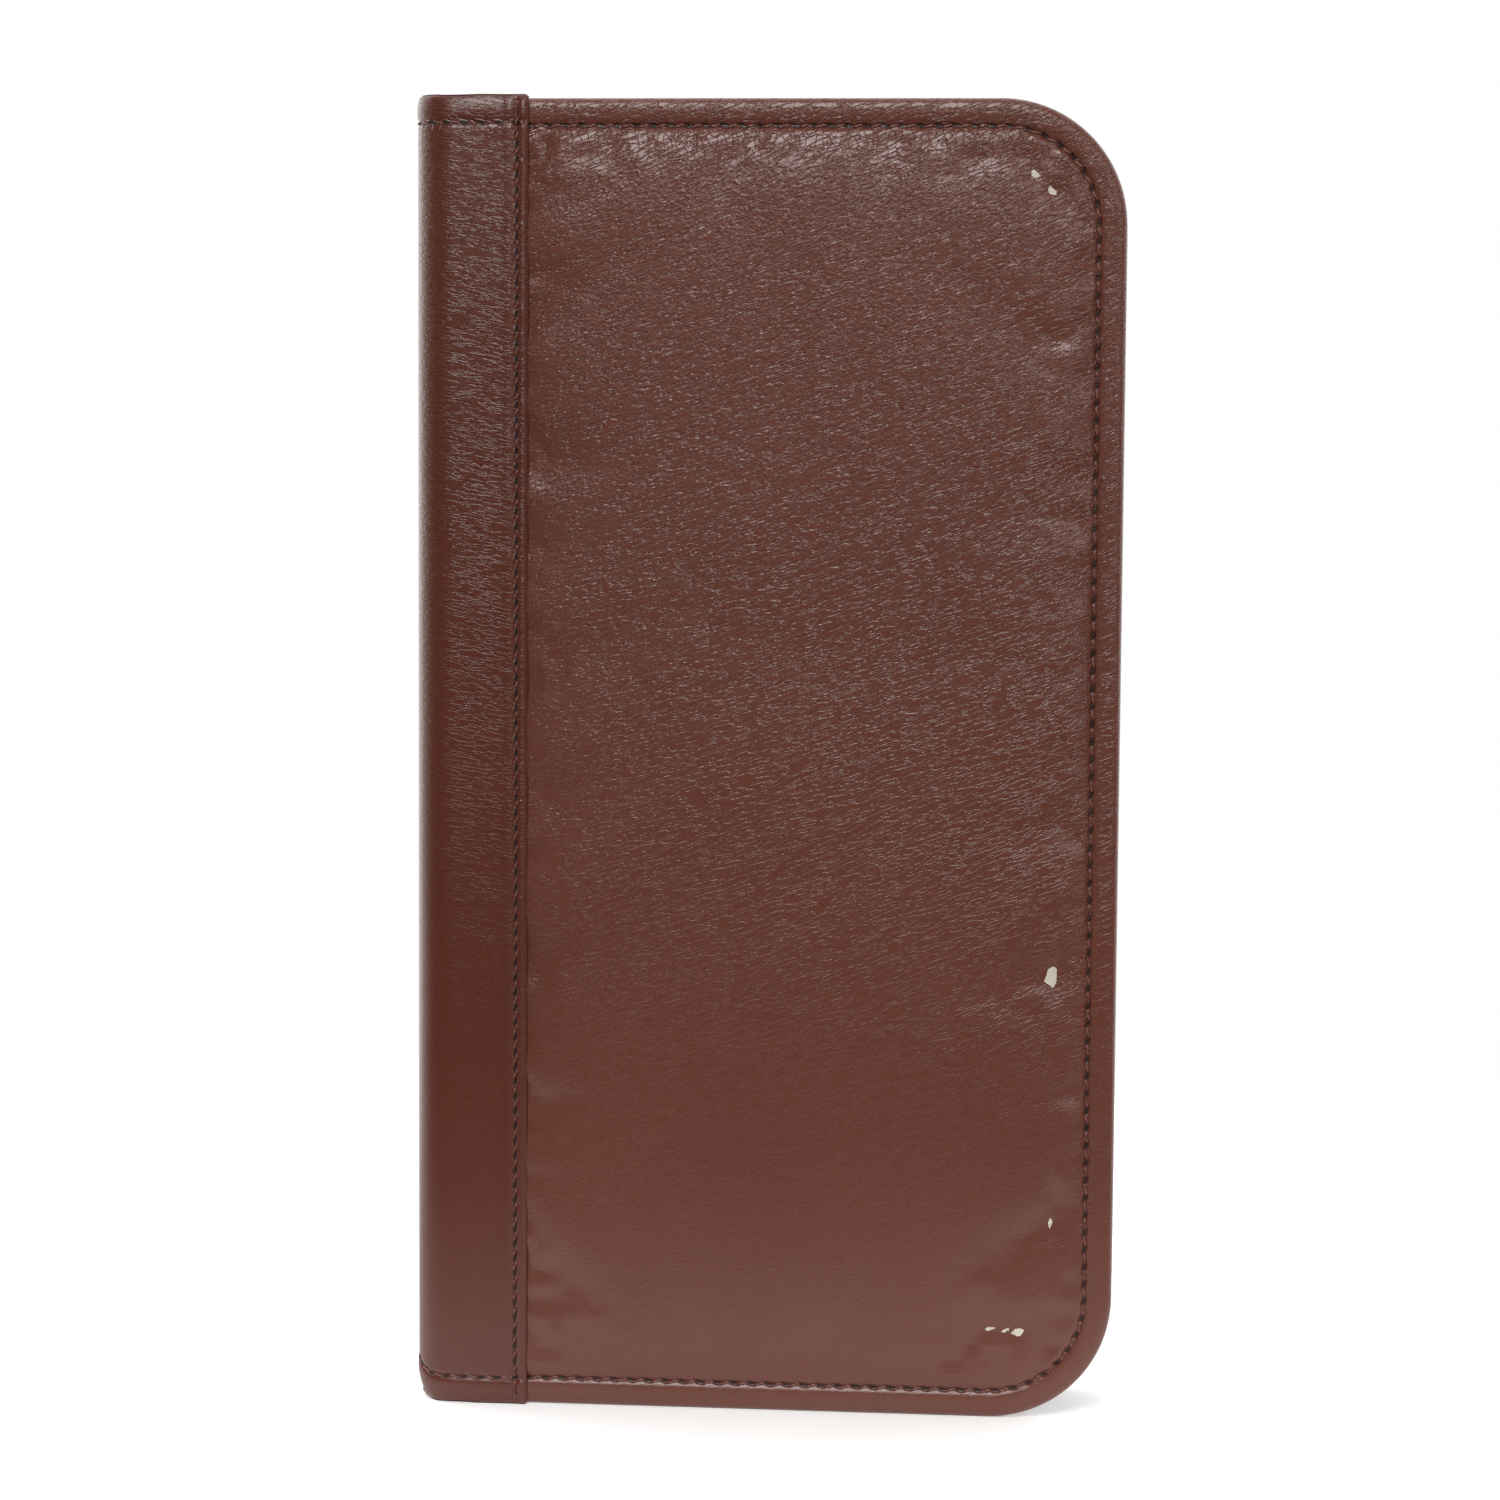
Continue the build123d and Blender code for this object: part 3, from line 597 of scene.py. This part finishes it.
def coverLeather(side):
    sign = sideOf[side]
    seed = 11 if side == "front" else 23
    beyond = (math.pi - 1) * panel["edgeRadius"] + panel["hem"]
    lapStart = stops(case["panelLeft"], case["lapEdge"] - 2, 0, 0, 1.5, 2.5)
    columns = np.concatenate([lapStart[:-1], stops(case["lapEdge"] - 2, case["foreEdge"] + beyond, 6,
                                                   panel["fineWidth"] + beyond, panel["fineCell"],
                                                   panel["coarseCell"])])
    rows = stops(-beyond, case["coverTop"] + beyond, panel["fineWidth"] + beyond, panel["fineWidth"] + beyond,
                 panel["fineCell"], panel["coarseCell"])
    bm, table = gridBmesh(columns, rows)
    u, v = np.meshgrid(columns, rows, indexing="ij")
    x, z, level, along, across = panelShape(u, v, paddedRise(seed), seed)
    for (i, j), vert in table.items():
        vert.co = (x[i, j] * mm, sign * level[i, j] * mm, z[i, j] * mm)
    seamMap = bm.loops.layers.uv.new("seamMap")
    places = {vert: key for key, vert in table.items()}
    for face in bm.faces:
        for loop in face.loops:
            key = places[loop.vert]
            loop[seamMap].uv = (along[key], across[key])
    # close the hem across the back and the raw edge under the lap
    last, top = len(columns) - 1, len(rows) - 1
    rawEdge = [table[0, j] for j in range(top + 1)]
    hemEdge = ([table[i, 0] for i in range(last + 1)] + [table[last, j] for j in range(1, top + 1)]
               + [table[i, top] for i in range(last - 1, -1, -1)])
    bm.faces.new(rawEdge)
    bm.faces.new(hemEdge)
    bmesh.ops.recalc_face_normals(bm, faces=bm.faces)
    piece = addPiece(f"{side}CoverLeather", bm, panelLeather, f"{side}_cover", [f"{side}_cover_leather"])
    return piece


# ---- stitches
def addStitch(bm, centre, along, out, thread, tilt):
    # one visible bit of thread: its ends dip into the needle holes
    across = out.cross(along)
    turned = along * math.cos(tilt) + across * math.sin(tilt)
    beside = out.cross(turned)
    frameMatrix = Matrix((
        (beside.x, out.x, turned.x, 0), (beside.y, out.y, turned.y, 0), (beside.z, out.z, turned.z, 0), (0, 0, 0, 1)))
    scale = Matrix.Diagonal((thread["width"] / 2 * mm, thread["height"] / 2 * mm, thread["length"] / 2 * mm, 1))
    bmesh.ops.create_uvsphere(bm, u_segments=8, v_segments=6, radius=1,
                              matrix=Matrix.Translation(centre * mm) @ frameMatrix @ scale)


coverThread = {"length": 2.1, "width": 0.5, "height": 0.46, "tilt": math.radians(15), "sink": 0.16}
seamThread = {"length": 1.95, "width": 0.5, "height": 0.46, "tilt": math.radians(24), "sink": 0.2}
innerThread = {"length": 2.4, "width": 0.5, "height": 0.4, "tilt": math.radians(8), "sink": 0.02}


def coverStitches(side):
    # the perimeter row on the face of a cover, and the same row as it comes through the lining
    sign = sideOf[side]
    draw = random.Random(5 if side == "front" else 6)
    bm = bmesh.new()
    for level, thread in ((case["borderLevel"], coverThread), (case["innerLevel"], innerThread)):
        outward = Vector((0, sign if thread is coverThread else -sign, 0))
        for count in range(panel["stitches"]):
            x, z, alongX, alongZ = seamPoint((count + 0.5) * panel["pitch"])
            reach = level - thread["sink"] if thread is coverThread else level + thread["sink"]
            centre = Vector((x, sign * reach, z))
            tilt = thread["tilt"] * draw.uniform(0.8, 1.2)
            addStitch(bm, centre, Vector((alongX, 0, alongZ)), outward, thread, tilt)
    return addPiece(f"{side}CoverStitches", bm, waxedThread, f"{side}_cover", [f"{side}_stitching"], 180)


# ---- spine strip
flatEnd = strip["turnReach"]
turnEnd = flatEnd + strip["turnRadius"] * (math.pi / 2 - strip["shoulderAngle"])
shoulderEnd = turnEnd + strip["shoulderRadius"] * strip["shoulderAngle"]
foldStart = shoulderEnd + case["lapEdge"] - case["leather"] / 2 - strip["shoulderX"]
seamAt = shoulderEnd + strip["seamX"] - strip["shoulderX"]


def stripPath(along, depth):
    # a point under the strip's outer face: x, distance from the middle plane, and the outward direction
    if along < flatEnd:
        return case["spineFace"] + depth, along, -1.0, 0.0
    if along < turnEnd:
        angle = math.pi / 2 - (along - flatEnd) / strip["turnRadius"]
        centre = (case["spineFace"] + strip["turnRadius"], strip["turnReach"])
        radius = strip["turnRadius"] - depth
    elif along < shoulderEnd:
        angle = (shoulderEnd - along) / strip["shoulderRadius"]
        centre = (strip["shoulderX"], strip["shoulderReach"])
        radius = strip["shoulderRadius"] - depth
    else:
        return strip["shoulderX"] + along - shoulderEnd, case["stripLevel"] - depth, 0.0, 1.0
    return (centre[0] - radius * math.sin(angle), centre[1] + radius * math.cos(angle),
            -math.sin(angle), math.cos(angle))


def endRise(x):
    # the strip's lower end curves up towards the spine
    near = strip["cornerRise"] - (x - case["spineFace"])
    if near <= 0:
        return 0.0
    return strip["cornerRise"] - math.sqrt(max(strip["cornerRise"] ** 2 - near ** 2, 0))


def risen(z, x):
    share = max(0.0, 1 - z / strip["riseReach"])
    return z + endRise(x) * share ** 2


def stripLeather(side):
    sign = sideOf[side]
    seed = 31 if side == "front" else 37
    half = case["leather"] / 2
    outer = np.concatenate([stops(0, seamAt - 3, 0, 0, 0.8, 0.8)[:-1], stops(seamAt - 3, foldStart, 0, 0, 0.28, 0.28)])
    fold = np.linspace(0, math.pi, 11)[1:-1]
    inner = stops(0, foldStart, 0, 0, 1.6, 1.6)[::-1]
    profile = [stripPath(a, 0) + (a, 1.0) for a in outer]
    foldX, foldReach = case["lapEdge"] - half, case["stripLevel"] - half
    for angle in fold:
        outward = (math.sin(angle), math.cos(angle))
        profile.append((foldX + half * outward[0], foldReach + half * outward[1], *outward, foldStart + half, 0.0))
    for a in inner:
        x, reach, outX, outReach = stripPath(a, case["leather"])
        profile.append((x, reach, -outX, -outReach, a, 0.0))
    profile.append(profile[0])
    rows = stops(0, case["height"], 9, 9, 0.3, 0.95)
    lumps = ripple(np.array([point[4] for point in profile]), [(9.1, 0.5), (17.3, 0.5)], seed + 2) - 0.3
    bm, table = gridBmesh(range(len(profile)), rows)
    rowArray = np.array(rows)
    seamWave = ripple(rowArray, [(strip["seamPitch"], 0.5), (7.3, 0.3), (4.1, 0.3)], seed)
    slowWave = ripple(rowArray, [(71, 0.5), (43, 0.3), (19, 0.2)], seed + 1)
    for (i, j), vert in table.items():
        x, reach, outX, outReach, a, face = profile[i]
        z = rows[j]
        fromEnd = min(z, case["height"] - z)
        round_ = max(strip["endRound"] - fromEnd, 0)
        pinch = strip["endRound"] - math.sqrt(strip["endRound"] ** 2 - round_ ** 2)
        height = -pinch
        if face:
            across = a - seamAt
            seamShare = smooth(0.2, 1.5, fromEnd)
            ridge = strip["ridge"] * (math.exp(-((across - 1.15) / 0.75) ** 2) + 0.5 * math.exp(-((across + 1.3) / 1.0) ** 2))
            groove = strip["grooveDepth"] * math.exp(-(across / strip["grooveWidth"]) ** 2)
            hole = 0.12 * math.exp(-(((z / strip["seamPitch"] + 0.5) % 1 - 0.5) * strip["seamPitch"] / 0.5) ** 2
                                   - (across / 0.45) ** 2)
            height += seamShare * (ridge - groove - hole + 0.03 * seamWave[j] * math.exp(-abs(across) / 1.6))
            endAcross = fromEnd - panel["stitchInset"]
            height += 0.16 * math.exp(-((endAcross + 2.3) / 1.7) ** 2)
            height -= 0.3 * math.exp(-(endAcross / 0.55) ** 2)
            height += 0.05 * slowWave[j] * smooth(turnEnd, turnEnd + 6, a)
            height -= 0.45 * math.exp(-fromEnd / 0.9)
        # the turned ends are a little lumpy
        lump = strip["endLump"] * lumps[i] * max(0.0, 1 - fromEnd / 12) ** 2
        vert.co = ((x + outX * height) * mm, sign * (reach + outReach * height) * mm,
                   (risen(z, x) + (lump if z > case["height"] / 2 else max(-lump, 0))) * mm)
    seamMap = bm.loops.layers.uv.new("seamMap")
    places = {vert: key for key, vert in table.items()}
    for face in bm.faces:
        keys = [places[loop.vert] for loop in face.loops]
        middle = sum(rows[j] for i, j in keys) / 4
        fromEnd = min(middle, case["height"] - middle)
        isFace = all(profile[i][5] for i, j in keys)
        for loop, (i, j) in zip(face.loops, keys):
            a, z = profile[i][4], rows[j]
            if not isFace:
                loop[seamMap].uv = (0.5, 40)
            elif fromEnd < panel["stitchInset"] + 1.4:
                across = min(z, case["height"] - z) - panel["stitchInset"]
                loop[seamMap].uv = ((a - seamAt) / strip["endPitch"], across)
            else:
                loop[seamMap].uv = (z / strip["seamPitch"], a - seamAt)
    bmesh.ops.remove_doubles(bm, verts=bm.verts, dist=0.00001)
    openEdges = [edge for edge in bm.edges if edge.is_boundary]
    bmesh.ops.holes_fill(bm, edges=openEdges, sides=0)
    bmesh.ops.recalc_face_normals(bm, faces=bm.faces)
    piece = addPiece(f"{side}SpineStrip", bm, spineLeather, None, [f"{side}_strip_lap", "spine_strip"])
    return piece


def joinAcross(piece):
    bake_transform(piece)


def stripStitches(side):
    # down the lap's seam, and across both ends of the strip to the middle of the spine
    sign = sideOf[side]
    draw = random.Random(7 if side == "front" else 8)
    bm = bmesh.new()
    outward = Vector((0, sign, 0))
    for count in range(round(case["height"] / strip["seamPitch"])):
        z = (count + 0.5) * strip["seamPitch"]
        centre = Vector((strip["seamX"], sign * (case["stripLevel"] - seamThread["sink"]), z))
        addStitch(bm, centre, Vector((0, 0, 1)), outward, seamThread,
                  sign * seamThread["tilt"] * draw.uniform(0.8, 1.2))
    for low in (True, False):
        count = 0
        while True:
            along = seamAt - (count + 0.5) * strip["endPitch"] + strip["endPitch"]
            if along < 0:
                break
            if along < foldStart - 0.5:
                x, reach, outX, outReach = stripPath(along, coverThread["sink"])
                z = panel["stitchInset"] if low else case["height"] - panel["stitchInset"]
                z = risen(z, x) if low else z
                out = Vector((outX, sign * outReach, 0))
                run = Vector((outReach, -sign * outX, 0))
                addStitch(bm, Vector((x, sign * reach, z)), run, out, coverThread,
                          sign * coverThread["tilt"] * draw.uniform(0.8, 1.2))
            count += 1
    piece = addPiece(f"{side}StripStitches", bm, waxedThread, None, ["spine_stitching"], 180)
    return piece


# ---- linings
lining = {"thickness": 0.5, "coverInset": 2.4, "cell": 3.0}


def coverLining(side):
    # a flat sheet of twill glued inside the turned hem, with the cover's own round corners
    sign = sideOf[side]
    inset = lining["coverInset"]
    radius = panel["cornerRadius"] - inset
    left, right = case["panelLeft"], case["foreEdge"] - inset
    low, high = inset, case["coverTop"] - inset
    bm = bmesh.new()
    bmesh.ops.create_grid(bm, x_segments=1, y_segments=1, size=1)
    for vert in bm.verts:
        x = left if vert.co.x < 0 else right
        z = low if vert.co.y < 0 else high
        vert.co = (x * mm, sign * case["backLevel"] * mm, z * mm)
    rounded = [vert for vert in bm.verts if vert.co.x > 0]
    bmesh.ops.bevel(bm, geom=rounded, offset=radius * mm, affect="VERTICES", segments=16, profile=0.5, material=-1)
    return finishSheet(bm, f"{side}CoverLining", sign, lining["thickness"],
                       side, [f"{side}_lining"])


def finishSheet(bm, name, sign, thickness, side, replaced):
    for face in bm.faces:
        face.normal_update()
    bmesh.ops.recalc_face_normals(bm, faces=bm.faces)
    shell = bmesh.ops.extrude_face_region(bm, geom=list(bm.faces))
    moved = [item for item in shell["geom"] if isinstance(item, bmesh.types.BMVert)]
    bmesh.ops.translate(bm, verts=moved, vec=(0, -sign * thickness * mm, 0))
    bmesh.ops.recalc_face_normals(bm, faces=bm.faces)
    piece = addPiece(name, bm, twillLining, f"{side}_cover", replaced)
    return piece


def spineLiningSheet():
    # twill over the spine board, under the ring plate
    low, high = boxMm("spine_lining")
    bm = bmesh.new()
    bmesh.ops.create_grid(bm, x_segments=8, y_segments=60, size=1)
    for vert in bm.verts:
        y = (vert.co.x + 1) / 2 * (high[1] - low[1]) + low[1]
        z = (vert.co.y + 1) / 2 * (high[2] - low[2]) + low[2]
        vert.co = (high[0] * mm, y * mm, z * mm)
    shell = bmesh.ops.extrude_face_region(bm, geom=list(bm.faces))
    moved = [item for item in shell["geom"] if isinstance(item, bmesh.types.BMVert)]
    bmesh.ops.translate(bm, verts=moved, vec=((low[0] - high[0]) * mm, 0, 0))
    bmesh.ops.recalc_face_normals(bm, faces=bm.faces)
    piece = addPiece("spineLining", bm, twillLining, "spine", ["spine_lining"])
    return piece


def hingeLining(side):
    # twill down into the hinge: from the spine lining, along the leather, up onto the cover's board
    sign = sideOf[side]
    spineBoxLow, spineBoxHigh = boxMm("spine_lining")
    depth = case["leather"] + 0.25
    route = [(spineBoxHigh[0] + 0.05, spineBoxHigh[1] - 2.5), (spineBoxHigh[0] + 0.05, spineBoxHigh[1] - 0.6)]
    for degrees in (50, 40, 30, 20, 10):
        angle = math.radians(degrees)
        radius = strip["shoulderRadius"] - depth
        route.append((strip["shoulderX"] - radius * math.sin(angle), strip["shoulderReach"] + radius * math.cos(angle)))
    route += [(case["panelLeft"] + 0.4, case["backLevel"] + 0.4), (case["panelLeft"] + 1.2, case["innerLevel"] - 0.05),
              (case["panelLeft"] + 4.2, case["innerLevel"] - 0.05)]
    bm = bmesh.new()
    low = spineBoxLow[2]
    start = [bm.verts.new((x * mm, sign * reach * mm, low * mm)) for x, reach in route]
    edges = [bm.edges.new(pair) for pair in zip(start, start[1:])]
    bmesh.ops.subdivide_edges(bm, edges=edges, cuts=3, smooth=1.0)
    bmesh.ops.smooth_vert(bm, verts=[v for v in bm.verts if len(v.link_edges) == 2], factor=0.5,
                          use_axis_x=True, use_axis_y=True, use_axis_z=False)
    stations = 60
    ring = list(bm.edges)
    step = (spineBoxHigh[2] - spineBoxLow[2]) / stations
    for count in range(stations):
        grown = bmesh.ops.extrude_edge_only(bm, edges=ring)["geom"]
        verts = [item for item in grown if isinstance(item, bmesh.types.BMVert)]
        ring = [item for item in grown if isinstance(item, bmesh.types.BMEdge)]
        ring = [edge for edge in ring if abs(edge.verts[0].co.z - edge.verts[1].co.z) < 1e-9]
        bmesh.ops.translate(bm, verts=verts, vec=(0, 0, step * mm))
    bmesh.ops.recalc_face_normals(bm, faces=bm.faces)
    bmesh.ops.solidify(bm, geom=list(bm.faces), thickness=0.4 * mm)
    bmesh.ops.recalc_face_normals(bm, faces=bm.faces)
    piece = addPiece(f"{side}HingeLining", bm, twillLining, None, ())
    return piece


# ---- pockets inside the covers
pockets = {
    "frontInnerPocket": {"side": "front", "node": "front_inner_pocket", "corner": 10, "open": "high"},
    "frontCardSlot": {"side": "front", "node": "front_card_slot", "corner": 8, "open": "high"},
    "backNotePocket": {"side": "back", "node": "back_note_pocket", "corner": 10, "open": "left"},
}
pocketShape = {"rise": 1.1, "leather": 0.55, "turn": 1.6, "stitchInset": 1.9, "pitch": 3.0, "cell": 1.6}


def pocketPiece(name, pocket):
    sign = sideOf[pocket["side"]]
    low, high = boxMm(pocket["node"])
    left, right, bottom, top = low[0], high[0], low[2], high[2]
    columns = stops(left, right, 4, 4, 0.4, pocketShape["cell"])
    rows = stops(bottom, top, 4, 4, 0.4, pocketShape["cell"])
    bm, table = gridBmesh(columns, rows)
    u, v = np.meshgrid(columns, rows, indexing="ij")
    corner = pocket["corner"]
    a = np.maximum(np.maximum(left + corner - u, u - right + corner), 0)
    b = np.maximum(np.maximum(bottom + corner - v, v - top + corner), 0)
    rounded = (a > 0) & (b > 0)
    reach = np.maximum(a, b)
    away = np.maximum(np.hypot(a, b), 1e-9)
    signX, signZ = np.where(u > (left + right) / 2, 1, -1), np.where(v > (bottom + top) / 2, 1, -1)
    x = np.where(rounded, u - signX * (a - a / away * reach), u)
    z = np.where(rounded, v - signZ * (b - b / away * reach), v)
    inset = np.where(rounded, corner - reach, np.minimum(np.minimum(u - left, right - u), np.minimum(v - bottom, top - v)))
    closed = {
        "high": np.minimum(np.minimum(u - left, right - u), v - bottom),
        "left": np.minimum(np.minimum(v - bottom, top - v), right - u),
    }[pocket["open"]]
    closed = np.where(rounded, np.minimum(closed, np.where(closed > corner, closed, inset)), closed)
    lift = (pocketShape["rise"] - 0.35) * smooth(0, pocketShape["turn"], closed)
    across = closed - pocketShape["stitchInset"]
    lift = lift - 0.2 * np.exp(-(across / 0.5) ** 2)
    openFrom = {"high": top - v, "left": u - left}[pocket["open"]]
    lift = lift + 0.12 * np.exp(-((openFrom - 1.0) / 0.8) ** 2)
    lift = lift + 0.12 * smooth(6, 30, closed) * ripple(x + z, [(83, 0.6), (41, 0.4)], len(name))
    level = case["innerLevel"] - 0.35 - lift
    for (i, j), vert in table.items():
        vert.co = (x[i, j] * mm, sign * level[i, j] * mm, z[i, j] * mm)
    seamMap = bm.loops.layers.uv.new("seamMap")
    for face in bm.faces:
        for loop in face.loops:
            loop[seamMap].uv = (0.5, 40)
    bmesh.ops.recalc_face_normals(bm, faces=bm.faces)
    faces = list(bm.faces)
    if faces[0].normal.y * sign > 0:
        bmesh.ops.reverse_faces(bm, faces=faces)
    bmesh.ops.solidify(bm, geom=faces, thickness=pocketShape["leather"] * mm)
    bmesh.ops.recalc_face_normals(bm, faces=bm.faces)
    piece = addPiece(name, bm, pocketLeather, f"{pocket['side']}_cover", [pocket["node"]])
    # stitches on the closed sides
    run = pocketRoute(pocket, left, right, bottom, top)
    stitches = bmesh.new()
    outward = Vector((0, -sign, 0))
    surface = case["innerLevel"] - 0.35 - (pocketShape["rise"] - 0.35) + 0.15
    for x0, z0, runX, runZ in run:
        addStitch(stitches, Vector((x0, sign * surface, z0)), Vector((runX, 0, runZ)), outward, innerThread,
                  innerThread["tilt"])
    addPiece(name + "Stitches", stitches, waxedThread, f"{pocket['side']}_cover", (), 180)
    return piece


def pocketRoute(pocket, left, right, bottom, top):
    # stitch places along the closed sides, with round corners
    inset, corner = pocketShape["stitchInset"], pocket["corner"]
    ring = corner - inset
    arc = math.pi / 2 * ring
    if pocket["open"] == "high":
        start = Vector((left + inset, top - corner))
        runs = [(Vector((0, -1)), top - bottom - 2 * corner), (Vector((1, 0)), right - left - 2 * corner),
                (Vector((0, 1)), top - bottom - 2 * corner)]
        turnWay = 1
    else:
        start = Vector((left + corner, bottom + inset))
        runs = [(Vector((1, 0)), right - left - 2 * corner), (Vector((0, 1)), top - bottom - 2 * corner),
                (Vector((-1, 0)), right - left - 2 * corner)]
        turnWay = 1
    places = []
    carry = pocketShape["pitch"] / 2
    point = start
    for number, (way, length) in enumerate(runs):
        along = carry
        while along < length:
            spot = point + way * along
            places.append((spot.x, spot.y, way.x, way.y))
            along += pocketShape["pitch"]
        carry = along - length
        point = point + way * length
        if number < 2:
            centre = point + Vector((-way.y, way.x)) * ring * turnWay
            along = carry
            while along < arc:
                turn = along / ring
                radial = (point - centre).normalized()
                spot = Vector((radial.x * math.cos(turn) - radial.y * math.sin(turn),
                               radial.x * math.sin(turn) + radial.y * math.cos(turn)))
                where = centre + spot * ring
                places.append((where.x, where.y, -spot.y, spot.x))
                along += pocketShape["pitch"]
            carry = along - arc
            point = centre + Vector((way.x, way.y)) * ring
    return places


# ---- build
for side in sideOf:
    coverLeather(side)
    coverStitches(side)
    print(side, "cover leather and stitches made")
    joinAcross(stripLeather(side))
    joinAcross(stripStitches(side))
    print(side, "strip made")
    coverLining(side)
spineLiningSheet()
for side in sideOf:
    joinAcross(hingeLining(side))
print("linings made")
for name, pocket in pockets.items():
    pocketPiece(name, pocket)
print("pockets made")

nodeFinish = {
    "ring_plate": nickelSteel, "ring_rivets": nickelSteel, "top_ring_trigger": nickelSteel,
    "bottom_ring_trigger": nickelSteel, "spine_board": greyBoard,
}
for side in sideOf:
    nodeFinish.update({f"{side}_ring_leaf": nickelSteel, f"{side}_half_rings": nickelSteel,
                       f"{side}_board": greyBoard, f"{side}_padding": sealedFoam})
nodeFinish.update({f"card_page_{number}": clearFilm for number in range(1, 9)})
for node, finish in nodeFinish.items():
    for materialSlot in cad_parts[node].material_slots:
        materialSlot.material = finish
print("frame nodes finished")


# ---- stage, light and camera
floor = {"centre": (0, 0.15, 0), "radius": 0.3, "fadeFrom": 0.17, "fadeTo": 0.28}


def stageFloor():
    bm = bmesh.new()
    bmesh.ops.create_circle(bm, cap_ends=True, radius=floor["radius"], segments=96,
                            matrix=Matrix.Translation(floor["centre"]))
    piece = addPiece("paleFloor", bm, floorFinish())


# Matt white card that fades into the white surroundings away from the case
def floorFinish():
    material, tree = newMaterial("whiteCard")
    place = addNode(tree, "ShaderNodeTexCoord").outputs["Object"]
    far = addNode(tree, "ShaderNodeVectorMath", {"operation": "DISTANCE"}, {
        0: place, 1: floor["centre"]}).outputs["Value"]
    fade = addNode(tree, "ShaderNodeMapRange", {"interpolation_type": "SMOOTHSTEP"}, {
        "Value": far, "From Min": floor["fadeFrom"], "From Max": floor["fadeTo"], "To Min": 0.0, "To Max": 1.0}).outputs["Result"]
    card = addNode(tree, "ShaderNodeBsdfPrincipled", None, {
        "Base Color": (0.9, 0.9, 0.89, 1), "Roughness": 0.9, "Emission Color": (1, 1, 1, 1),
        "Emission Strength": 0.3}).outputs["BSDF"]
    glow = addNode(tree, "ShaderNodeEmission", None, {"Color": (1, 1, 1, 1), "Strength": 1.0}).outputs["Emission"]
    mix = addNode(tree, "ShaderNodeMixShader", None, {"Fac": fade, 1: card, 2: glow}).outputs["Shader"]
    addNode(tree, "ShaderNodeOutputMaterial", None, {"Surface": mix})
    return material


def studioWorld():
    # white all round for the eye, with a dimmer half in front of the case so its face isn't washed out
    world = bpy.data.worlds.new("studio")
    world.use_nodes = True
    tree = world.node_tree
    tree.nodes.clear()
    toward = addNode(tree, "ShaderNodeTexCoord").outputs["Generated"]
    parts = addNode(tree, "ShaderNodeSeparateXYZ", None, {"Vector": toward})
    strength = addNode(tree, "ShaderNodeMapRange", {"interpolation_type": "SMOOTHSTEP"}, {
        "Value": parts.outputs["Y"], "From Min": -0.3, "From Max": 0.25,
        "To Min": 0.04, "To Max": 1.7}).outputs["Result"]
    seen = addNode(tree, "ShaderNodeLightPath").outputs["Is Camera Ray"]
    level = addNode(tree, "ShaderNodeMix", {"data_type": "FLOAT"}, {"Factor": seen, 2: strength, 3: 1.0}).outputs[0]
    back = addNode(tree, "ShaderNodeBackground", None, {"Color": (1, 1, 1, 1), "Strength": level}).outputs[0]
    addNode(tree, "ShaderNodeOutputWorld", None, {"Surface": back})
    bpy.context.scene.world = world


def softLight(name, place, target, size, power):
    data = bpy.data.lights.new(name, "AREA")
    data.shape = "RECTANGLE"
    data.size, data.size_y = size
    data.energy = power
    lamp = bpy.data.objects.new(name, data)
    lamp.location = place
    lamp.rotation_euler = (Vector(target) - Vector(place)).to_track_quat("-Z", "Y").to_euler()
    bpy.context.scene.collection.objects.link(lamp)


view = {
    "azimuth": math.radians(5.445), "elevation": math.radians(5.151), "roll": math.radians(0.387),
    "distance": 0.7452, "target": (-0.00267, -0.014, 0.12663), "lens": 95.16,
}


def photographer():
    data = bpy.data.cameras.new("camera")
    data.lens = view["lens"]
    data.sensor_width = 36
    camera = bpy.data.objects.new("camera", data)
    level = math.cos(view["elevation"])
    back = Vector((math.sin(view["azimuth"]) * level, -math.cos(view["azimuth"]) * level, math.sin(view["elevation"])))
    camera.location = Vector(view["target"]) + back * view["distance"]
    facing = (-back).to_track_quat("-Z", "Y").to_matrix()
    camera.rotation_euler = (facing @ Matrix.Rotation(view["roll"], 3, "Z")).to_euler()
    bpy.context.scene.collection.objects.link(camera)
    bpy.context.scene.camera = camera


photographer()
stageFloor()
studioWorld()
softLight("topSoftbox", (-0.1, -0.95, 0.84), (0, 0, 0.2), (0.5, 0.6), 10.5)
softLight("frontFill", (0.9, -1.3, 0.7), (0, 0, 0.12), (0.8, 0.8), 6)
softLight("leftCard", (-0.9, 0.45, 0.3), (-0.06, 0, 0.13), (0.5, 0.9), 3)
bpy.context.scene.view_settings.view_transform = "Standard"
print("camera and lights set")
